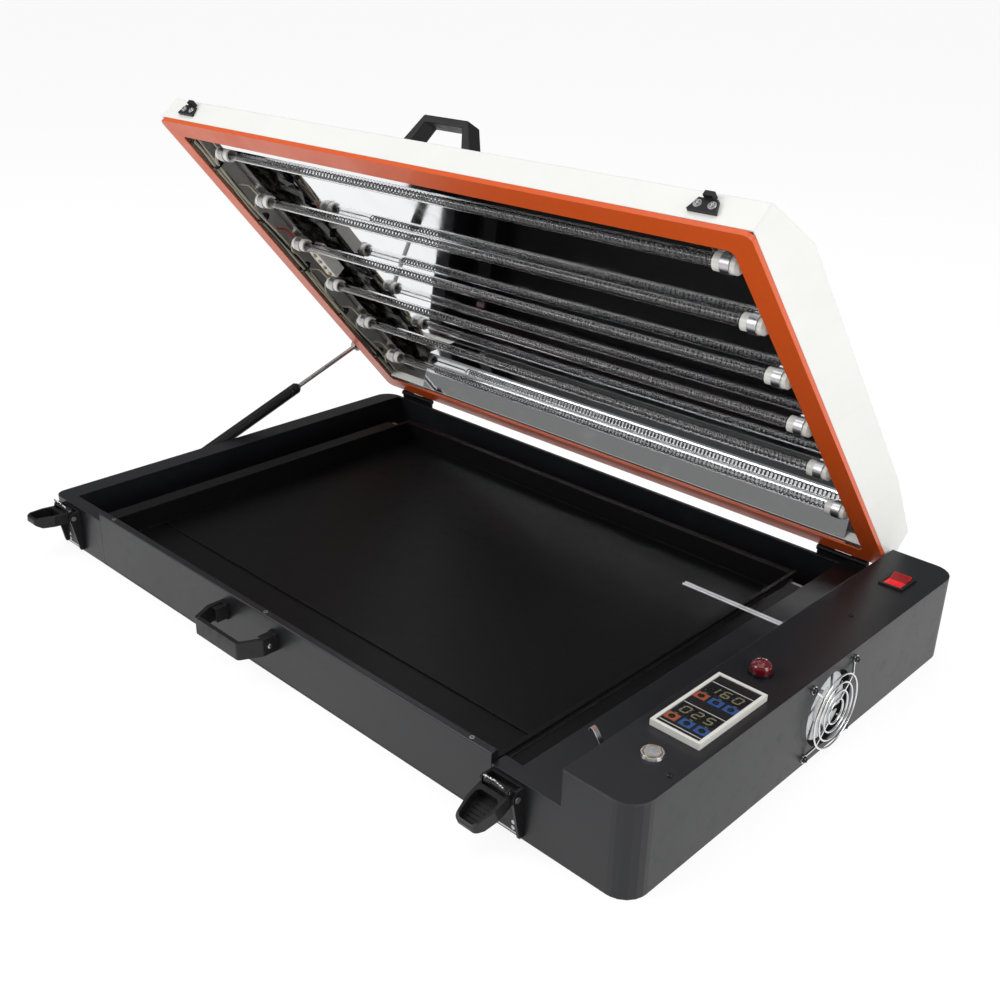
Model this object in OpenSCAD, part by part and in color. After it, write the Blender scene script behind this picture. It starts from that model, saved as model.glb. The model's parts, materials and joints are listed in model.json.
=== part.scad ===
/* [Base] */
// Width of the base, over the control console
body_w = 860; // [840:5:900]
// Depth of the base
body_d = 520; // [510:5:560]
// Height of the base's rim
rim_h = 55; // [52:1:60]
// Thickness of the folded sheet steel
sheet = 1.5; // [1:0.1:2]
// Width of the flat left rim
left_rim_w = 26; // [20:1:32]
// Depth of the flat rim at the front, beside the drawer
front_rim_d = 16; // [12:1:20]
// Depth of the rim at the rear
rear_rim_d = 4; // [3:0.5:6]
// Radius of the front left corner
front_left_r = 12; // [6:1:16]
// Radius of the other three corners
corner_r = 22; // [16:1:24]
// Width of the flat shelf between drawer rails and console
shelf_w = 54; // [50:1:60]

/* [Console] */
// Width of the control console
console_w = 70; // [68:1:76]
// Height of the console above the table
console_h = 90; // [88:1:96]

/* [Drawer] */
// Distance of the tray's left wall from the base's left side
tray_left = 110; // [104:1:120]
// Depth of the gutter behind the tray
tray_behind = 62; // [58:1:80]
// Distance of the tray's front wall behind the base's front
tray_front = 18; // [16:1:22]
// Height of the tray's floor above the table
tray_floor = 30; // [26:1:34]
// Height of the tray's rim above the table
tray_rim = 54.5; // [50:0.5:55]
// Width of the tray's folded lip
tray_lip = 4; // [3:0.5:5]
// How far the front panel reaches past the tray on each side
front_panel_past = 6; // [4:0.5:8]
// Height of the panel's lower edge
front_panel_z = 2; // [1:0.5:4]
// Height of the panel's flange
front_panel_top = 64.7; // [62:0.1:64.8]
// Depth of the panel's flange
front_flange_d = 8; // [6:0.5:10]
// Depth of the bare strip in front of the plate on the tray's floor
plate_inset = 57; // [40:1:80]
// Clear width of one rail channel
rail_w = 24.5; // [20:0.5:25]
// Height of the fixed rail
rail_h = 18; // [16:0.5:20]
// Running gap between the rails
slide_gap = 0.3; // [0.2:0.05:0.4]

/* [Drawer handle] */
// Half the distance over the handle's feet
pull_foot = 46; // [42:1:54]
// Half the length of the grip
pull_grip = 35; // [32:1:40]
// Reach of the handle in front of the panel
pull_reach = 39; // [34:1:46]
// Height of the handle's band
pull_h = 18; // [14:1:20]
// Thickness of the handle's band
pull_t = 4.5; // [4:0.5:6]

/* [Lid] */
// Gap between the closed lid and the console
lid_side_gap = 3; // [2:0.5:5]
// Height of the underside of the closed lid
lid_z = 65.2; // [65:0.1:68]
// Angle to which the lid is open
lid_open = 49.6; // [30:0.1:60]
// Height of the lid's front face
lid_front_h = 33; // [28:1:38]
// Height of the lid's rear face
lid_rear_h = 48; // [42:1:52]
// Height of the lid's roof
lid_roof_h = 60; // [56:1:66]
// Depth of the sloping front of the roof
lid_front_slope = 76; // [60:1:90]
// Depth of the sloping rear of the roof
lid_rear_slope = 85; // [60:1:95]
// Thickness of the lid's sheet
lid_sheet = 1.2; // [1:0.1:1.5]
// Width of the frame round the lid's mouth
frame_w = 22.5; // [18:0.5:26]
// Height of the frame's outer edge
frame_h = 5; // [4:0.5:7]
// Radius of the frame's outer corners
frame_r = 8; // [4:1:12]

/* [Heater] */
// Number of heating tubes
tube_count = 6; // [4:1:6]
// Outer radius of a heating tube
tube_r = 5.5; // [5:0.1:6]
// Wall of the quartz
tube_wall = 1; // [0.8:0.1:1.2]
// Place of the first tube behind the lid's front
tube_first = 56; // [54:1:60]
// Place of the last tube in front of the lid's rear
tube_last = 77; // [70:1:80]
// Height of the tubes above the lid's mouth
tube_z = 12; // [11:0.5:14]
// Left end of the tubes
tube_left = 60; // [56:1:64]
// Distance of the tubes' right ends from the lid's right side
tube_right_gap = 44; // [42:1:50]
// Radius of the filament's curls
filament_r = 3.4; // [3:0.1:3.6]
// Curls that each tube's filament has
filament_curls = 12; // [8:1:14]
// Height of the reflector above the lid's mouth
reflector_h = 42; // [38:1:46]

/* [Gas strut] */
// Radius of the strut's cylinder
strut_r = 7.5; // [6:0.5:8]
// Radius of the strut's rod
strut_rod_r = 3; // [2.5:0.5:4]
// Distance of the strut's lower pivot behind the front
strut_base_y = 150; // [130:1:170]
// Height of the strut's lower pivot
strut_base_z = 21; // [16:1:26]
// Distance of the upper pivot from the lid's rear edge
strut_lid_a = 84; // [78:1:90]
// Height of the upper pivot above the lid's mouth
strut_lid_b = 5; // [4:0.5:8]
// Length of the cylinder from its pivot
strut_body_l = 229; // [220:1:235]

/* [Latches] */
// Width of a latch housing
latch_w = 36; // [32:1:40]
// Length of a latch lever from its pivot
latch_lever_l = 42; // [38:1:43]
// Height of the lever's pivot
latch_z = 45; // [43:1:48]
// Distance of the lever's pivot in front of the base
latch_y = 9; // [8:0.5:11]
// Angle of the left lever above level
latch_left_rest = 5; // [0:1:10]
// Angle of the right lever below level
latch_right_rest = 20; // [10:1:26]

/* [Controls] */
// Width of the controller's bezel
panel_w = 48; // [48:0.1:50]
// Length of the controller's bezel
panel_l = 96; // [94:0.5:98]
// Height of the bezel above the console
panel_h = 6; // [4:0.5:8]
// Diameter of the start button's ring
button_d = 20; // [18:0.5:22]
// Diameter of the signal lamp's collar
lamp_d = 22; // [20:0.5:24]
// Width of the rocker switch's frame
rocker_w = 25; // [24:0.5:27]
// Length of the rocker switch's frame
rocker_l = 31; // [29:0.5:33]
// Side of the fan's frame
fan_side = 80; // [78:0.5:82]
// Distance between the fan's screws
fan_pitch = 71.5; // [70:0.5:72]

/* [Hidden] */
$fn = 48;
arc_steps = 6;

// How far a cut runs past the material that it opens
over = 1;
// Seat gap between two pieces that only lie against each other
seat = 0.2;
// Radial clearance of a pin in its bore
pin_gap = 0.05;
// Gap between two pieces that move past each other
run_gap = 0.4;

charcoal = [0.13, 0.13, 0.14];
soft_black = [0.06, 0.06, 0.065];
white_paint = [0.94, 0.94, 0.92];
orange = [0.86, 0.35, 0.15];
steel = [0.75, 0.76, 0.78];
mirror_metal = [0.85, 0.86, 0.88];
ceramic = [0.93, 0.92, 0.88];

// The drawer's size and place, from the base's left side and front
console_x = body_w - console_w;
shelf_x = console_x - shelf_w;
tray_x = tray_left;
tray_w = shelf_x - rail_w - sheet - tray_x;
tray_d = body_d - tray_front - tray_behind;
tray_mid = tray_x + tray_w / 2;
front_panel_w = tray_w + 2 * front_panel_past;
panel_x = tray_mid - front_panel_w / 2;
panel_gap = 0.5;

// The rails: fixed channels on both sides and a runner on each side of the tray
rail_lift = 2;
rail_z = tray_floor + rail_lift;
rail_lip = 3;
runner_t = 3.2;
runner_h = rail_h - 2 * sheet - 2 * slide_gap;
rail_in = runner_t + sheet + 2 * slide_gap;
glide_l = 28;
rail_rear_gap = 14;
web_foot = 12;

// The lid's size, and its place when closed
lid_x = 1;
lid_y = -2;
lid_w = console_x - lid_side_gap - lid_x;
lid_d = body_d;
lid_mid = lid_x + lid_w / 2;
lid_seam = 0.2;
frame_in_r = 6;
hinge_back = 0.5;
hinge_drop = 2.7;
hinge_y = body_d + hinge_back;
hinge_z = lid_z - hinge_drop;
hinge_r = 3.2;
hinge_l = 60;
hinge_leaf_t = 1.5;
hinge_leaf_h = 30;
hinge_pin_r = 1.5;
hinge_left = 62;
hinge_right_gap = 54;
hinge_places = [hinge_left, console_x - hinge_right_gap];

tube_right = lid_w - tube_right_gap;
tube_pitch = (lid_d - tube_first - tube_last) / (tube_count - 1);
bar_rise = 4.5;
tube_b_bar = tube_z + tube_r + bar_rise;
bar_t = 1.2;
bar_w = 18;
cap_r = 8;
cap_l = 24;
clip_l = 9;
clip_t = 0.9;
clip_r = cap_r + clip_t;
wire_r = 0.5;

strut_x = -10;
strut_eye_r = 7;
strut_eye_w = 8;
strut_pin_r = 4;
stud_plate_t = 2;

latch_left_x = 41;
latch_right_gap = 55;
latch_right_x = console_x - latch_right_gap;
latch_cheek = 2.5;
latch_pin_r = 2;
hook_f = 2;
hook_h = 8.5;
hook_pin_r = 1.5;
hook_l = 14;
hook_wire_r = 0.9;

// Places of the controls: from the console's inner wall and from the front
panel_in = 34.8;
panel_y = 140;
panel_at = [console_x + panel_in, panel_y];
button_in = 36;
button_y = 63;
button_at = [console_x + button_in, button_y];
lamp_in = 31.5;
lamp_y = 221;
lamp_at = [console_x + lamp_in, lamp_y];
rocker_in = 37;
rocker_behind = 63;
rocker_at = [console_x + rocker_in, body_d - rocker_behind];
fan_y = 280;
fan_z = 44;
probe_y = 347.5;
probe_z = 62;
switch_y = 58;
switch_z = 61;

// Outline helpers: points in a plane, going round to the left
function unit(v) = v / norm(v);

// A polygon's corners rounded with arcs; radii is one radius or one per corner
function rounded(pts, radii, steps = arc_steps) = [
    for (i = [0 : len(pts) - 1])
        let (
            n = len(pts),
            p = pts[i],
            u = unit(pts[(i + n - 1) % n] - p),
            v = unit(pts[(i + 1) % n] - p),
            half = acos(u * v) / 2,
            r = is_list(radii) ? radii[i] : radii,
            c = p + unit(u + v) * r / sin(half),
            s = p + u * r / tan(half) - c,
            e = p + v * r / tan(half) - c
        )
        each r <= 0 ? [p] : [for (k = [0 : steps]) c + r * unit(s * (1 - k / steps) + e * (k / steps))]
];

// The same polygon with every edge moved inwards by d
function inset(pts, d) = [
    for (i = [0 : len(pts) - 1])
        let (
            n = len(pts),
            u = unit(pts[i] - pts[(i + n - 1) % n]),
            v = unit(pts[(i + 1) % n] - pts[i]),
            nu = [-u.y, u.x],
            nv = [-v.y, v.x]
        )
        pts[i] + (nu + nv) * d / (1 + nu * nv)
];

// An open path thickened to its left by t
function band(pts, t) = concat(pts, [
    for (k = [0 : len(pts) - 1])
        let (
            i = len(pts) - 1 - k,
            u = unit(i == 0 ? pts[1] - pts[0] : pts[i] - pts[i - 1]),
            v = unit(i == len(pts) - 1 ? pts[i] - pts[i - 1] : pts[i + 1] - pts[i]),
            nu = [-u.y, u.x],
            nv = [-v.y, v.x]
        )
        pts[i] + (nu + nv) * t / (1 + nu * nv)
]);

function box_points(w, d) = [[0, 0], [w, 0], [w, d], [0, d]];

// Extrusions along the axes: the polygon lies in y, z or in x, z
module along_x(l) rotate([90, 0, 90]) linear_extrude(l) children();
module along_y(l) translate([0, l, 0]) rotate([90, 0, 0]) linear_extrude(l) children();
module rod_x(r, l) rotate([0, 90, 0]) cylinder(r = r, h = l);
module rod_y(r, l) rotate([-90, 0, 0]) cylinder(r = r, h = l);

// From the base's front left corner to the part's origin
module at_corner() translate([-body_w / 2, -body_d / 2, 0]) children();

// From the lid's own front left corner to its open place
module at_lid() at_corner()
    translate([0, hinge_y, hinge_z]) rotate([-lid_open, 0, 0]) translate([0, -hinge_y, -hinge_z])
        translate([lid_x, lid_y, lid_z]) children();

// A tube along a path of points, with a ring of side points at each
module tube_along(path, r, sides) {
    n = len(path);
    function tangent(i) = unit(path[min(i + 1, n - 1)] - path[max(i - 1, 0)]);
    function ring(i) = let (t = tangent(i), up = abs(t.z) < 0.9 ? [0, 0, 1] : [0, 1, 0], a = unit(cross(t, up)),
        b = cross(t, a)) [for (k = [0 : sides - 1]) path[i] + r * (a * cos(360 * k / sides) + b * sin(360 * k / sides))];
    points = [for (i = [0 : n - 1]) each ring(i)];
    side_faces = [
        for (i = [0 : n - 2]) for (k = [0 : sides - 1])
            let (a = i * sides + k, b = i * sides + (k + 1) % sides)
            each [[a, b, b + sides], [a, b + sides, a + sides]]
    ];
    ends = [
        for (k = [1 : sides - 2]) each [[0, k + 1, k], [(n - 1) * sides, (n - 1) * sides + k, (n - 1) * sides + k + 1]]
    ];
    polyhedron(points, concat(side_faces, ends));
}

// Outline of the base, seen from above
function base_outline() = rounded(box_points(body_w, body_d), [front_left_r, corner_r, corner_r, corner_r]);

// Folded base: outer walls, left rim and its inner wall, front and rear rims, shelf and its inner wall
module base_shell() color(charcoal) at_corner() difference() {
    union() {
        difference() {
            linear_extrude(rim_h) polygon(base_outline());
            translate([0, 0, -over]) linear_extrude(rim_h + 2 * over) polygon(inset(base_outline(), sheet));
        }
        intersection() {
            difference() {
                linear_extrude(console_h - sheet) polygon(base_outline());
                translate([0, 0, -over]) linear_extrude(console_h) polygon(inset(base_outline(), sheet));
            }
            translate([console_x, -over, 0]) cube([console_w + over, body_d + 2 * over, console_h]);
        }
        translate([0, 0, rim_h - sheet]) linear_extrude(sheet) intersection() {
            polygon(base_outline());
            difference() {
                square([console_x, body_d]);
                translate([left_rim_w, front_rim_d])
                    square([shelf_x - left_rim_w, body_d - front_rim_d - rear_rim_d]);
                translate([panel_x - panel_gap, -over])
                    square([front_panel_w + 2 * panel_gap, front_rim_d + 2 * over]);
            }
        }
        for (x = [left_rim_w - sheet, shelf_x])
            translate([x, sheet, sheet]) cube([sheet, body_d - 2 * sheet, rim_h - 2 * sheet]);
        for (x = [panel_x - panel_gap - sheet, panel_x + front_panel_w + panel_gap])
            translate([x, sheet, front_panel_z]) cube([sheet, front_rim_d - sheet, rim_h - sheet - front_panel_z]);
    }
    translate([panel_x - panel_gap, -over, sheet])
        cube([front_panel_w + 2 * panel_gap, sheet + 2 * over, rim_h]);
    translate([body_w, fan_y, fan_z]) rotate([0, -90, 0])
        translate([0, 0, -over]) cylinder(r = fan_side / 2 - 2 * sheet, h = sheet + 2 * over);
}

// Flat plate closing the base from below; the machine rests on it
module bottom_plate() color(charcoal) at_corner() difference() {
    linear_extrude(sheet - seat) polygon(inset(base_outline(), sheet + seat));
    for (i = [0 : 7]) translate([console_x + console_w / 4, body_d / 4 + i * fan_side / 5, -over])
        linear_extrude(sheet + 2 * over) square([console_w / 2, sheet * 2]);
}

// Console lid: top with its cut-outs and the inner wall above the shelf
module console_cover() color(charcoal) at_corner() difference() {
    union() {
        translate([0, 0, console_h - sheet]) linear_extrude(sheet) intersection() {
            polygon(base_outline());
            translate([console_x, 0]) square([console_w, body_d]);
        }
        translate([console_x, sheet + seat, rim_h]) cube([sheet, body_d - 2 * sheet - 2 * seat, console_h - rim_h - sheet]);
    }
    translate([panel_at.x - panel_w / 2 + sheet, panel_at.y - panel_l / 2 + sheet, console_h - sheet - over])
        cube([panel_w - 2 * sheet, panel_l - 2 * sheet, sheet + 2 * over]);
    translate([button_at.x, button_at.y, console_h - sheet - over])
        cylinder(r = button_d / 2 - sheet, h = sheet + 2 * over);
    translate([lamp_at.x, lamp_at.y, console_h - sheet - over])
        cylinder(r = lamp_d / 2 - 2 * sheet, h = sheet + 2 * over);
    translate([rocker_at.x - rocker_w / 2 + sheet, rocker_at.y - rocker_l / 2 + sheet, console_h - sheet - over])
        cube([rocker_w - 2 * sheet, rocker_l - 2 * sheet, sheet + 2 * over]);
    translate([console_x - over, probe_y, probe_z]) rod_x(probe_gland_r, sheet + 2 * over);
    translate([console_x - over, switch_y - switch_w / 2 - run_gap, rim_h - over])
        cube([sheet + 2 * over, switch_w + 2 * run_gap, switch_slot_h + over]);
}
probe_gland_r = 4.5;
switch_w = 12;
switch_slot_h = 26;

// Place of what is the same on the left and on the right of the tray
module both_sides() {
    children();
    translate([2 * tray_mid, 0, 0]) mirror([1, 0, 0]) children();
}

// Right side of the tray's outer wall
tray_side = tray_mid + tray_w / 2 + sheet;

// Fixed channel rails; the left one stands on the floor with its own web
module slide_rails() color(soft_black) at_corner() {
    channel_w = shelf_x - tray_side - rail_in;
    profile = [[0, 0], [channel_w, 0], [channel_w, rail_h], [0, rail_h], [0, rail_h - sheet],
        [channel_w - sheet, rail_h - sheet], [channel_w - sheet, sheet], [0, sheet]];
    length = tray_d - rail_rear_gap;
    translate([tray_side + rail_in, tray_front + rail_lip, rail_z]) along_y(length) polygon(profile);
    translate([2 * tray_mid, 0, 0]) mirror([1, 0, 0]) {
        translate([tray_side + rail_in, tray_front + rail_lip, rail_z]) along_y(length) polygon(profile);
        translate([shelf_x, tray_front + rail_lip, sheet]) cube([sheet, length, rail_z + rail_h - sheet]);
        translate([shelf_x, tray_front + rail_lip, sheet]) cube([web_foot, length, sheet]);
    }
}

// Runners on the tray's sides, each with a slider in the fixed rail at its rear end
module tray_runners() color(steel) at_corner() both_sides() {
    translate([tray_side, tray_front, rail_z + sheet + slide_gap]) {
        cube([sheet, tray_d, runner_h]);
        translate([0, 0, runner_h - sheet]) cube([runner_t, tray_d, sheet]);
        translate([0, tray_d - glide_l - tray_lip, 0])
            cube([shelf_x - tray_side - sheet - slide_gap, glide_l, runner_h]);
    }
}

// Tray: open pan with a lip folded outwards
module tray_pan() color(soft_black) at_corner() {
    translate([tray_x, tray_front, 0]) {
        difference() {
            translate([-sheet, -sheet, tray_floor - sheet])
                cube([tray_w + 2 * sheet, tray_d + 2 * sheet, tray_rim - tray_floor + sheet]);
            translate([0, 0, tray_floor]) cube([tray_w, tray_d, tray_rim]);
        }
        translate([0, 0, tray_rim - sheet]) difference() {
            translate([-tray_lip, -tray_front + front_flange_d, 0])
                cube([tray_w + 2 * tray_lip, tray_front - front_flange_d + tray_d + 2 * tray_lip, sheet]);
            translate([-sheet, -sheet, -over]) cube([tray_w + 2 * sheet, tray_d + 2 * sheet, sheet + 2 * over]);
        }
    }
}

// Drawer front: upright panel with a flange folded back over its top
module drawer_front() color(charcoal) at_corner() translate([panel_x, 0, 0]) {
    fold = [[0, front_panel_z], [sheet, front_panel_z], [sheet, front_panel_top - sheet],
        [front_flange_d - sheet, front_panel_top - sheet], [front_flange_d - sheet, tray_rim - tray_lip],
        [front_flange_d, tray_rim - tray_lip], [front_flange_d, front_panel_top], [0, front_panel_top]];
    along_x(front_panel_w) polygon(rounded(fold, [0, 0, 0, 0, 0, 0, sheet, sheet], 3));
    translate([0, sheet, front_panel_z + sheet])
        cube([sheet, front_flange_d - 2 * sheet, front_panel_top - front_panel_z - 2 * sheet]);
    translate([front_panel_w - sheet, sheet, front_panel_z + sheet])
        cube([sheet, front_flange_d - 2 * sheet, front_panel_top - front_panel_z - 2 * sheet]);
}

// Loose dark plate on the tray's floor
module tray_plate() color(soft_black) at_corner()
    translate([tray_x + tray_lip, tray_front + plate_inset, tray_floor])
        cube([tray_w - 2 * tray_lip, tray_d - plate_inset - tray_lip, sheet]);

// Round head of a small screw, standing on z = 0
module screw_head(r) rotate_extrude() polygon([[0, 0], [r, 0], [r, r / 3], [r * 2 / 3, r * 2 / 3], [0, r * 4 / 5]]);

// The flange's screws have flat heads, which stay below the closed lid
drawer_screw_r = 2.2;
drawer_screw_t = 0.4;
drawer_screw_inset = 26;
handle_screw_r = 2.5;
module drawer_screws() color(steel) at_corner() {
    for (x = [panel_x + drawer_screw_inset, tray_mid, panel_x + front_panel_w - drawer_screw_inset])
        translate([x, front_flange_d / 2, front_panel_top]) cylinder(r = drawer_screw_r, h = drawer_screw_t);
    for (side = [-1, 1]) translate([pull_x + side * (pull_foot - pull_t / 2 + seat), -bracket_l * 2 / 3, pull_z])
        rotate([0, side * 90, 0]) translate([0, 0, pull_t / 2]) screw_head(handle_screw_r);
}

pull_shift = 7.2;
pull_x = lid_mid - pull_shift;
pull_z = 43;
bracket_l = 15;
bracket_t = 7;
// Feet of the drawer handle: a pad on the panel with an ear that stands forward
module handle_brackets() color(soft_black) at_corner() for (side = [-1, 1])
    translate([pull_x, 0, pull_z]) mirror([side < 0 ? 1 : 0, 0, 0]) {
        translate([pull_foot - pull_t - bracket_t, -sheet * 2, -pull_h / 2])
            cube([bracket_t + pull_t, sheet * 2, pull_h]);
        translate([pull_foot - pull_t - bracket_t, -bracket_l, -pull_h / 2 + sheet])
            cube([bracket_t - seat, bracket_l, pull_h - 2 * sheet]);
    }

// U-shaped grip between the feet
module drawer_handle() color(soft_black) at_corner() translate([pull_x, 0, pull_z - pull_h / 2]) linear_extrude(pull_h)
    difference() {
        outer = [[-pull_foot, -sheet * 2 - seat], [-pull_foot, -bracket_l - pull_t / 2], [-pull_grip, -pull_reach],
            [pull_grip, -pull_reach], [pull_foot, -bracket_l - pull_t / 2], [pull_foot, -sheet * 2 - seat]];
        inner = [[-pull_foot + pull_t, over], [-pull_foot + pull_t, -bracket_l - pull_t / 3],
            [-pull_grip + pull_t / 2, -pull_reach + pull_t], [pull_grip - pull_t / 2, -pull_reach + pull_t],
            [pull_foot - pull_t, -bracket_l - pull_t / 3], [pull_foot - pull_t, over]];
        polygon(rounded(outer, [0, pull_t, pull_t, pull_t, pull_t, 0]));
        polygon(rounded(inner, [0, pull_t / 2, pull_t / 2, pull_t / 2, pull_t / 2, 0]));
    }

// Side outline of the lid above its frame, front at the left
function lid_side() = [[0, frame_h + lid_seam], [lid_d, frame_h + lid_seam], [lid_d, lid_rear_h],
    [lid_d - lid_rear_slope, lid_roof_h], [lid_front_slope, lid_roof_h], [0, lid_front_h]];

module lid_shell() color(white_paint) at_lid() {
    side = lid_side();
    radii = [0, 0, 2 * lid_sheet, 2 * frame_h, 2 * frame_h, 2 * lid_sheet];
    difference() {
        along_x(lid_w) polygon(rounded(side, radii, 4));
        translate([lid_sheet, 0, 0]) along_x(lid_w - 2 * lid_sheet) {
            polygon(inset(side, lid_sheet));
            translate([0, -over - lid_sheet]) polygon(inset(side, lid_sheet));
        }
    }
}

// Painted ring round the lid's mouth, with an edge turned up against the shell
module lid_frame() color(orange) at_lid() difference() {
    linear_extrude(frame_h) polygon(rounded(box_points(lid_w, lid_d), frame_r));
    translate([0, 0, sheet]) linear_extrude(frame_h)
        polygon(rounded([[sheet, sheet], [lid_w - sheet, sheet], [lid_w - sheet, lid_d - sheet], [sheet, lid_d - sheet]],
            frame_r - sheet));
    translate([0, 0, -over]) linear_extrude(frame_h) polygon(rounded(
        [[frame_w, frame_w], [lid_w - frame_w, frame_w], [lid_w - frame_w, lid_d - frame_w], [frame_w, lid_d - frame_w]],
        frame_in_r));
}

// Polished trough above the tubes, its flanges lying on the frame
reflector_t = 0.8;
reflector_left = 92;
reflector_flange = 16;
reflector_slope = 28;
module reflector() color(mirror_metal) at_lid() {
    front = frame_w + tray_lip * 2;
    low = sheet + seat;
    path = [[front - reflector_flange, low], [front, low], [front + reflector_slope, reflector_h],
        [lid_d - front - reflector_slope, reflector_h], [lid_d - front, low], [lid_d - front + reflector_flange, low]];
    translate([reflector_left, 0, 0]) along_x(tube_right - reflector_left) polygon(band(path, reflector_t));
}

// Bars that carry the tube ends, on legs that reach the lid's roof
module tube_brackets() color(steel) at_lid() for (x = [tube_left - cap_l / 2 - bar_w / 2, tube_right + cap_l / 2 - bar_w / 2]) {
    bar_y = frame_w + 2 * sheet;
    bar_d = lid_d - 2 * bar_y;
    translate([x, bar_y, tube_b_bar]) cube([bar_w, bar_d, bar_t]);
    for (y = [lid_front_slope, lid_d - lid_rear_slope - bar_w])
        translate([x, y, tube_b_bar]) cube([bar_t, bar_w, lid_roof_h - lid_sheet - seat - tube_b_bar]);
}

function tube_y(i) = tube_first + i * tube_pitch;

module quartz_tubes() color([0.85, 0.87, 0.9, 0.5]) at_lid() for (i = [0 : tube_count - 1])
    translate([tube_left, tube_y(i), tube_z]) rotate([0, 90, 0]) rotate_extrude()
        translate([tube_r - tube_wall, 0]) square([tube_wall, tube_right - tube_left]);

// Heating filament: one unbroken wire that curls along its tube
curl_rings = 8;
wire_sides = 6;
function filament_path() = let (
        start = tube_left + 2 * wire_r,
        finish = tube_right - 2 * wire_r,
        lead = 4 * wire_r,
        run = finish - start - 2 * lead,
        steps = filament_curls * curl_rings
    )
    concat(
        [[start, filament_r, 0]],
        [for (k = [0 : steps]) [start + lead + run * k / steps, filament_r * cos(360 * k / curl_rings),
            filament_r * sin(360 * k / curl_rings)]],
        [[finish, filament_r, 0]]
    );

module filaments() color([0.35, 0.33, 0.31]) at_lid() {
    path = filament_path();
    points_apart = norm(path[1] - path[1 + curl_rings]);
    echo(least_gap_between_curls = points_apart - 2 * wire_r);
    for (i = [0 : tube_count - 1]) translate([0, tube_y(i), tube_z]) tube_along(path, wire_r, wire_sides);
}

// Ceramic cap on each tube end, bored for the tube and closed behind it
module tube_cap() rotate([0, 90, 0]) rotate_extrude() polygon([[0, 0], [cap_r * 2 / 3, 0], [cap_r, cap_r / 3],
    [cap_r, cap_l], [tube_r + seat, cap_l], [tube_r + seat, cap_l / 2], [0, cap_l / 2]]);

module tube_caps() color(ceramic) at_lid() for (i = [0 : tube_count - 1]) translate([0, tube_y(i), tube_z]) {
    translate([tube_left - cap_l / 2, 0, 0]) tube_cap();
    translate([tube_right + cap_l / 2, 0, 0]) mirror([1, 0, 0]) tube_cap();
}

// Sprung metal band round each cap, with a tab up to the bar
module tube_clip() {
    rotate([0, 90, 0]) rotate_extrude() translate([cap_r + pin_gap, 0]) square([clip_r - cap_r - pin_gap, clip_l]);
    translate([0, -clip_l / 2, clip_r - bar_t / 2]) cube([clip_l, clip_l, tube_b_bar - tube_z - clip_r + bar_t / 2]);
}
module tube_clips() color(steel) at_lid() for (i = [0 : tube_count - 1])
    for (x = [tube_left - clip_l / 2, tube_right - clip_l / 2]) translate([x, tube_y(i), tube_z]) tube_clip();

// Ceramic terminal block beside the left bar
block_w = 18;
block_l = 46;
block_h = 16;
module terminal_block() color(ceramic) at_lid()
    translate([tube_left - cap_l / 2 + bar_w / 2 + seat, tube_y(2) + (tube_pitch - block_l) / 2, tube_b_bar - block_h / 2])
        difference() {
            cube([block_w, block_l, block_h]);
            for (k = [0 : 3]) translate([block_w / 2, block_l * (k + 1 / 2) / 4, -over])
                cylinder(r = block_l / 16, h = over + block_h / 3);
        }

// Wiring loom that runs along the left wall inside the lid
loom_r = 3.5;
loom_x = 14;
loom_sway = 1;
loom_z = 5.5;
loom_steps = 9;
loom_end_share = 0.075;
loom_turn = 110;
loom_points = [for (k = [0 : loom_steps]) [loom_x + loom_sway * sin(loom_turn * k),
    lid_d * (loom_end_share + (1 - 2 * loom_end_share) * k / loom_steps), loom_z]];
module lid_wiring() color([0.86, 0.82, 0.7]) at_lid() tube_along(loom_points, loom_r, 8);

// Bridge handle on the sloping front of the lid
grip_foot = 52;
grip_half = 30;
grip_h = 37;
grip_t = 8;
grip_w = 20;
grip_back = 32;
module on_front_slope() translate([0, 0, lid_front_h])
    rotate([atan2(lid_roof_h - lid_front_h, lid_front_slope), 0, 0]) children();
module lid_handle() color(soft_black) at_lid() translate([lid_w / 2, 0, 0]) on_front_slope()
    translate([0, grip_back, seat]) along_y(grip_w) difference() {
        polygon(rounded([[-grip_foot, 0], [grip_foot, 0], [grip_half, grip_h], [-grip_half, grip_h]],
            [0, 0, grip_t / 2, grip_t / 2]));
        polygon(rounded([[-grip_foot + 2 * grip_t, -over], [grip_foot - 2 * grip_t, -over],
            [grip_half - grip_t / 2, grip_h - grip_t], [-grip_half + grip_t / 2, grip_h - grip_t]],
            [0, 0, grip_t / 3, grip_t / 3]));
    }

// Keepers on the lid's front face, one above each latch
keeper_w = 27;
keeper_z = 12;
keeper_h = 12;
keeper_t = 3.5;
keeper_tab = 9;
keeper_screw_r = 2.6;
keeper_shift = 1.5;
keeper_places = [latch_left_x + keeper_shift, latch_right_x + keeper_shift];
module keepers() color(soft_black) at_lid() for (x = keeper_places) translate([x, 0, keeper_z]) {
    plate = [[-keeper_w / 2, 0], [keeper_w / 2, 0], [keeper_w / 3, keeper_h], [keeper_tab / 2, keeper_h],
        [keeper_tab / 2, keeper_h + keeper_tab / 2], [-keeper_tab / 2, keeper_h + keeper_tab / 2],
        [-keeper_tab / 2, keeper_h], [-keeper_w / 3, keeper_h]];
    translate([0, -keeper_t, 0]) along_y(keeper_t) polygon(plate);
    translate([-keeper_tab / 2, -2 * keeper_t, keeper_h]) cube([keeper_tab, keeper_t, keeper_tab / 2]);
}
module keeper_screws() color(steel) at_lid() for (x = keeper_places) for (side = [-1, 1])
    translate([x + side * keeper_w / 4, -keeper_t, keeper_z + keeper_h / 2]) rotate([90, 0, 0]) screw_head(keeper_screw_r);

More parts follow.
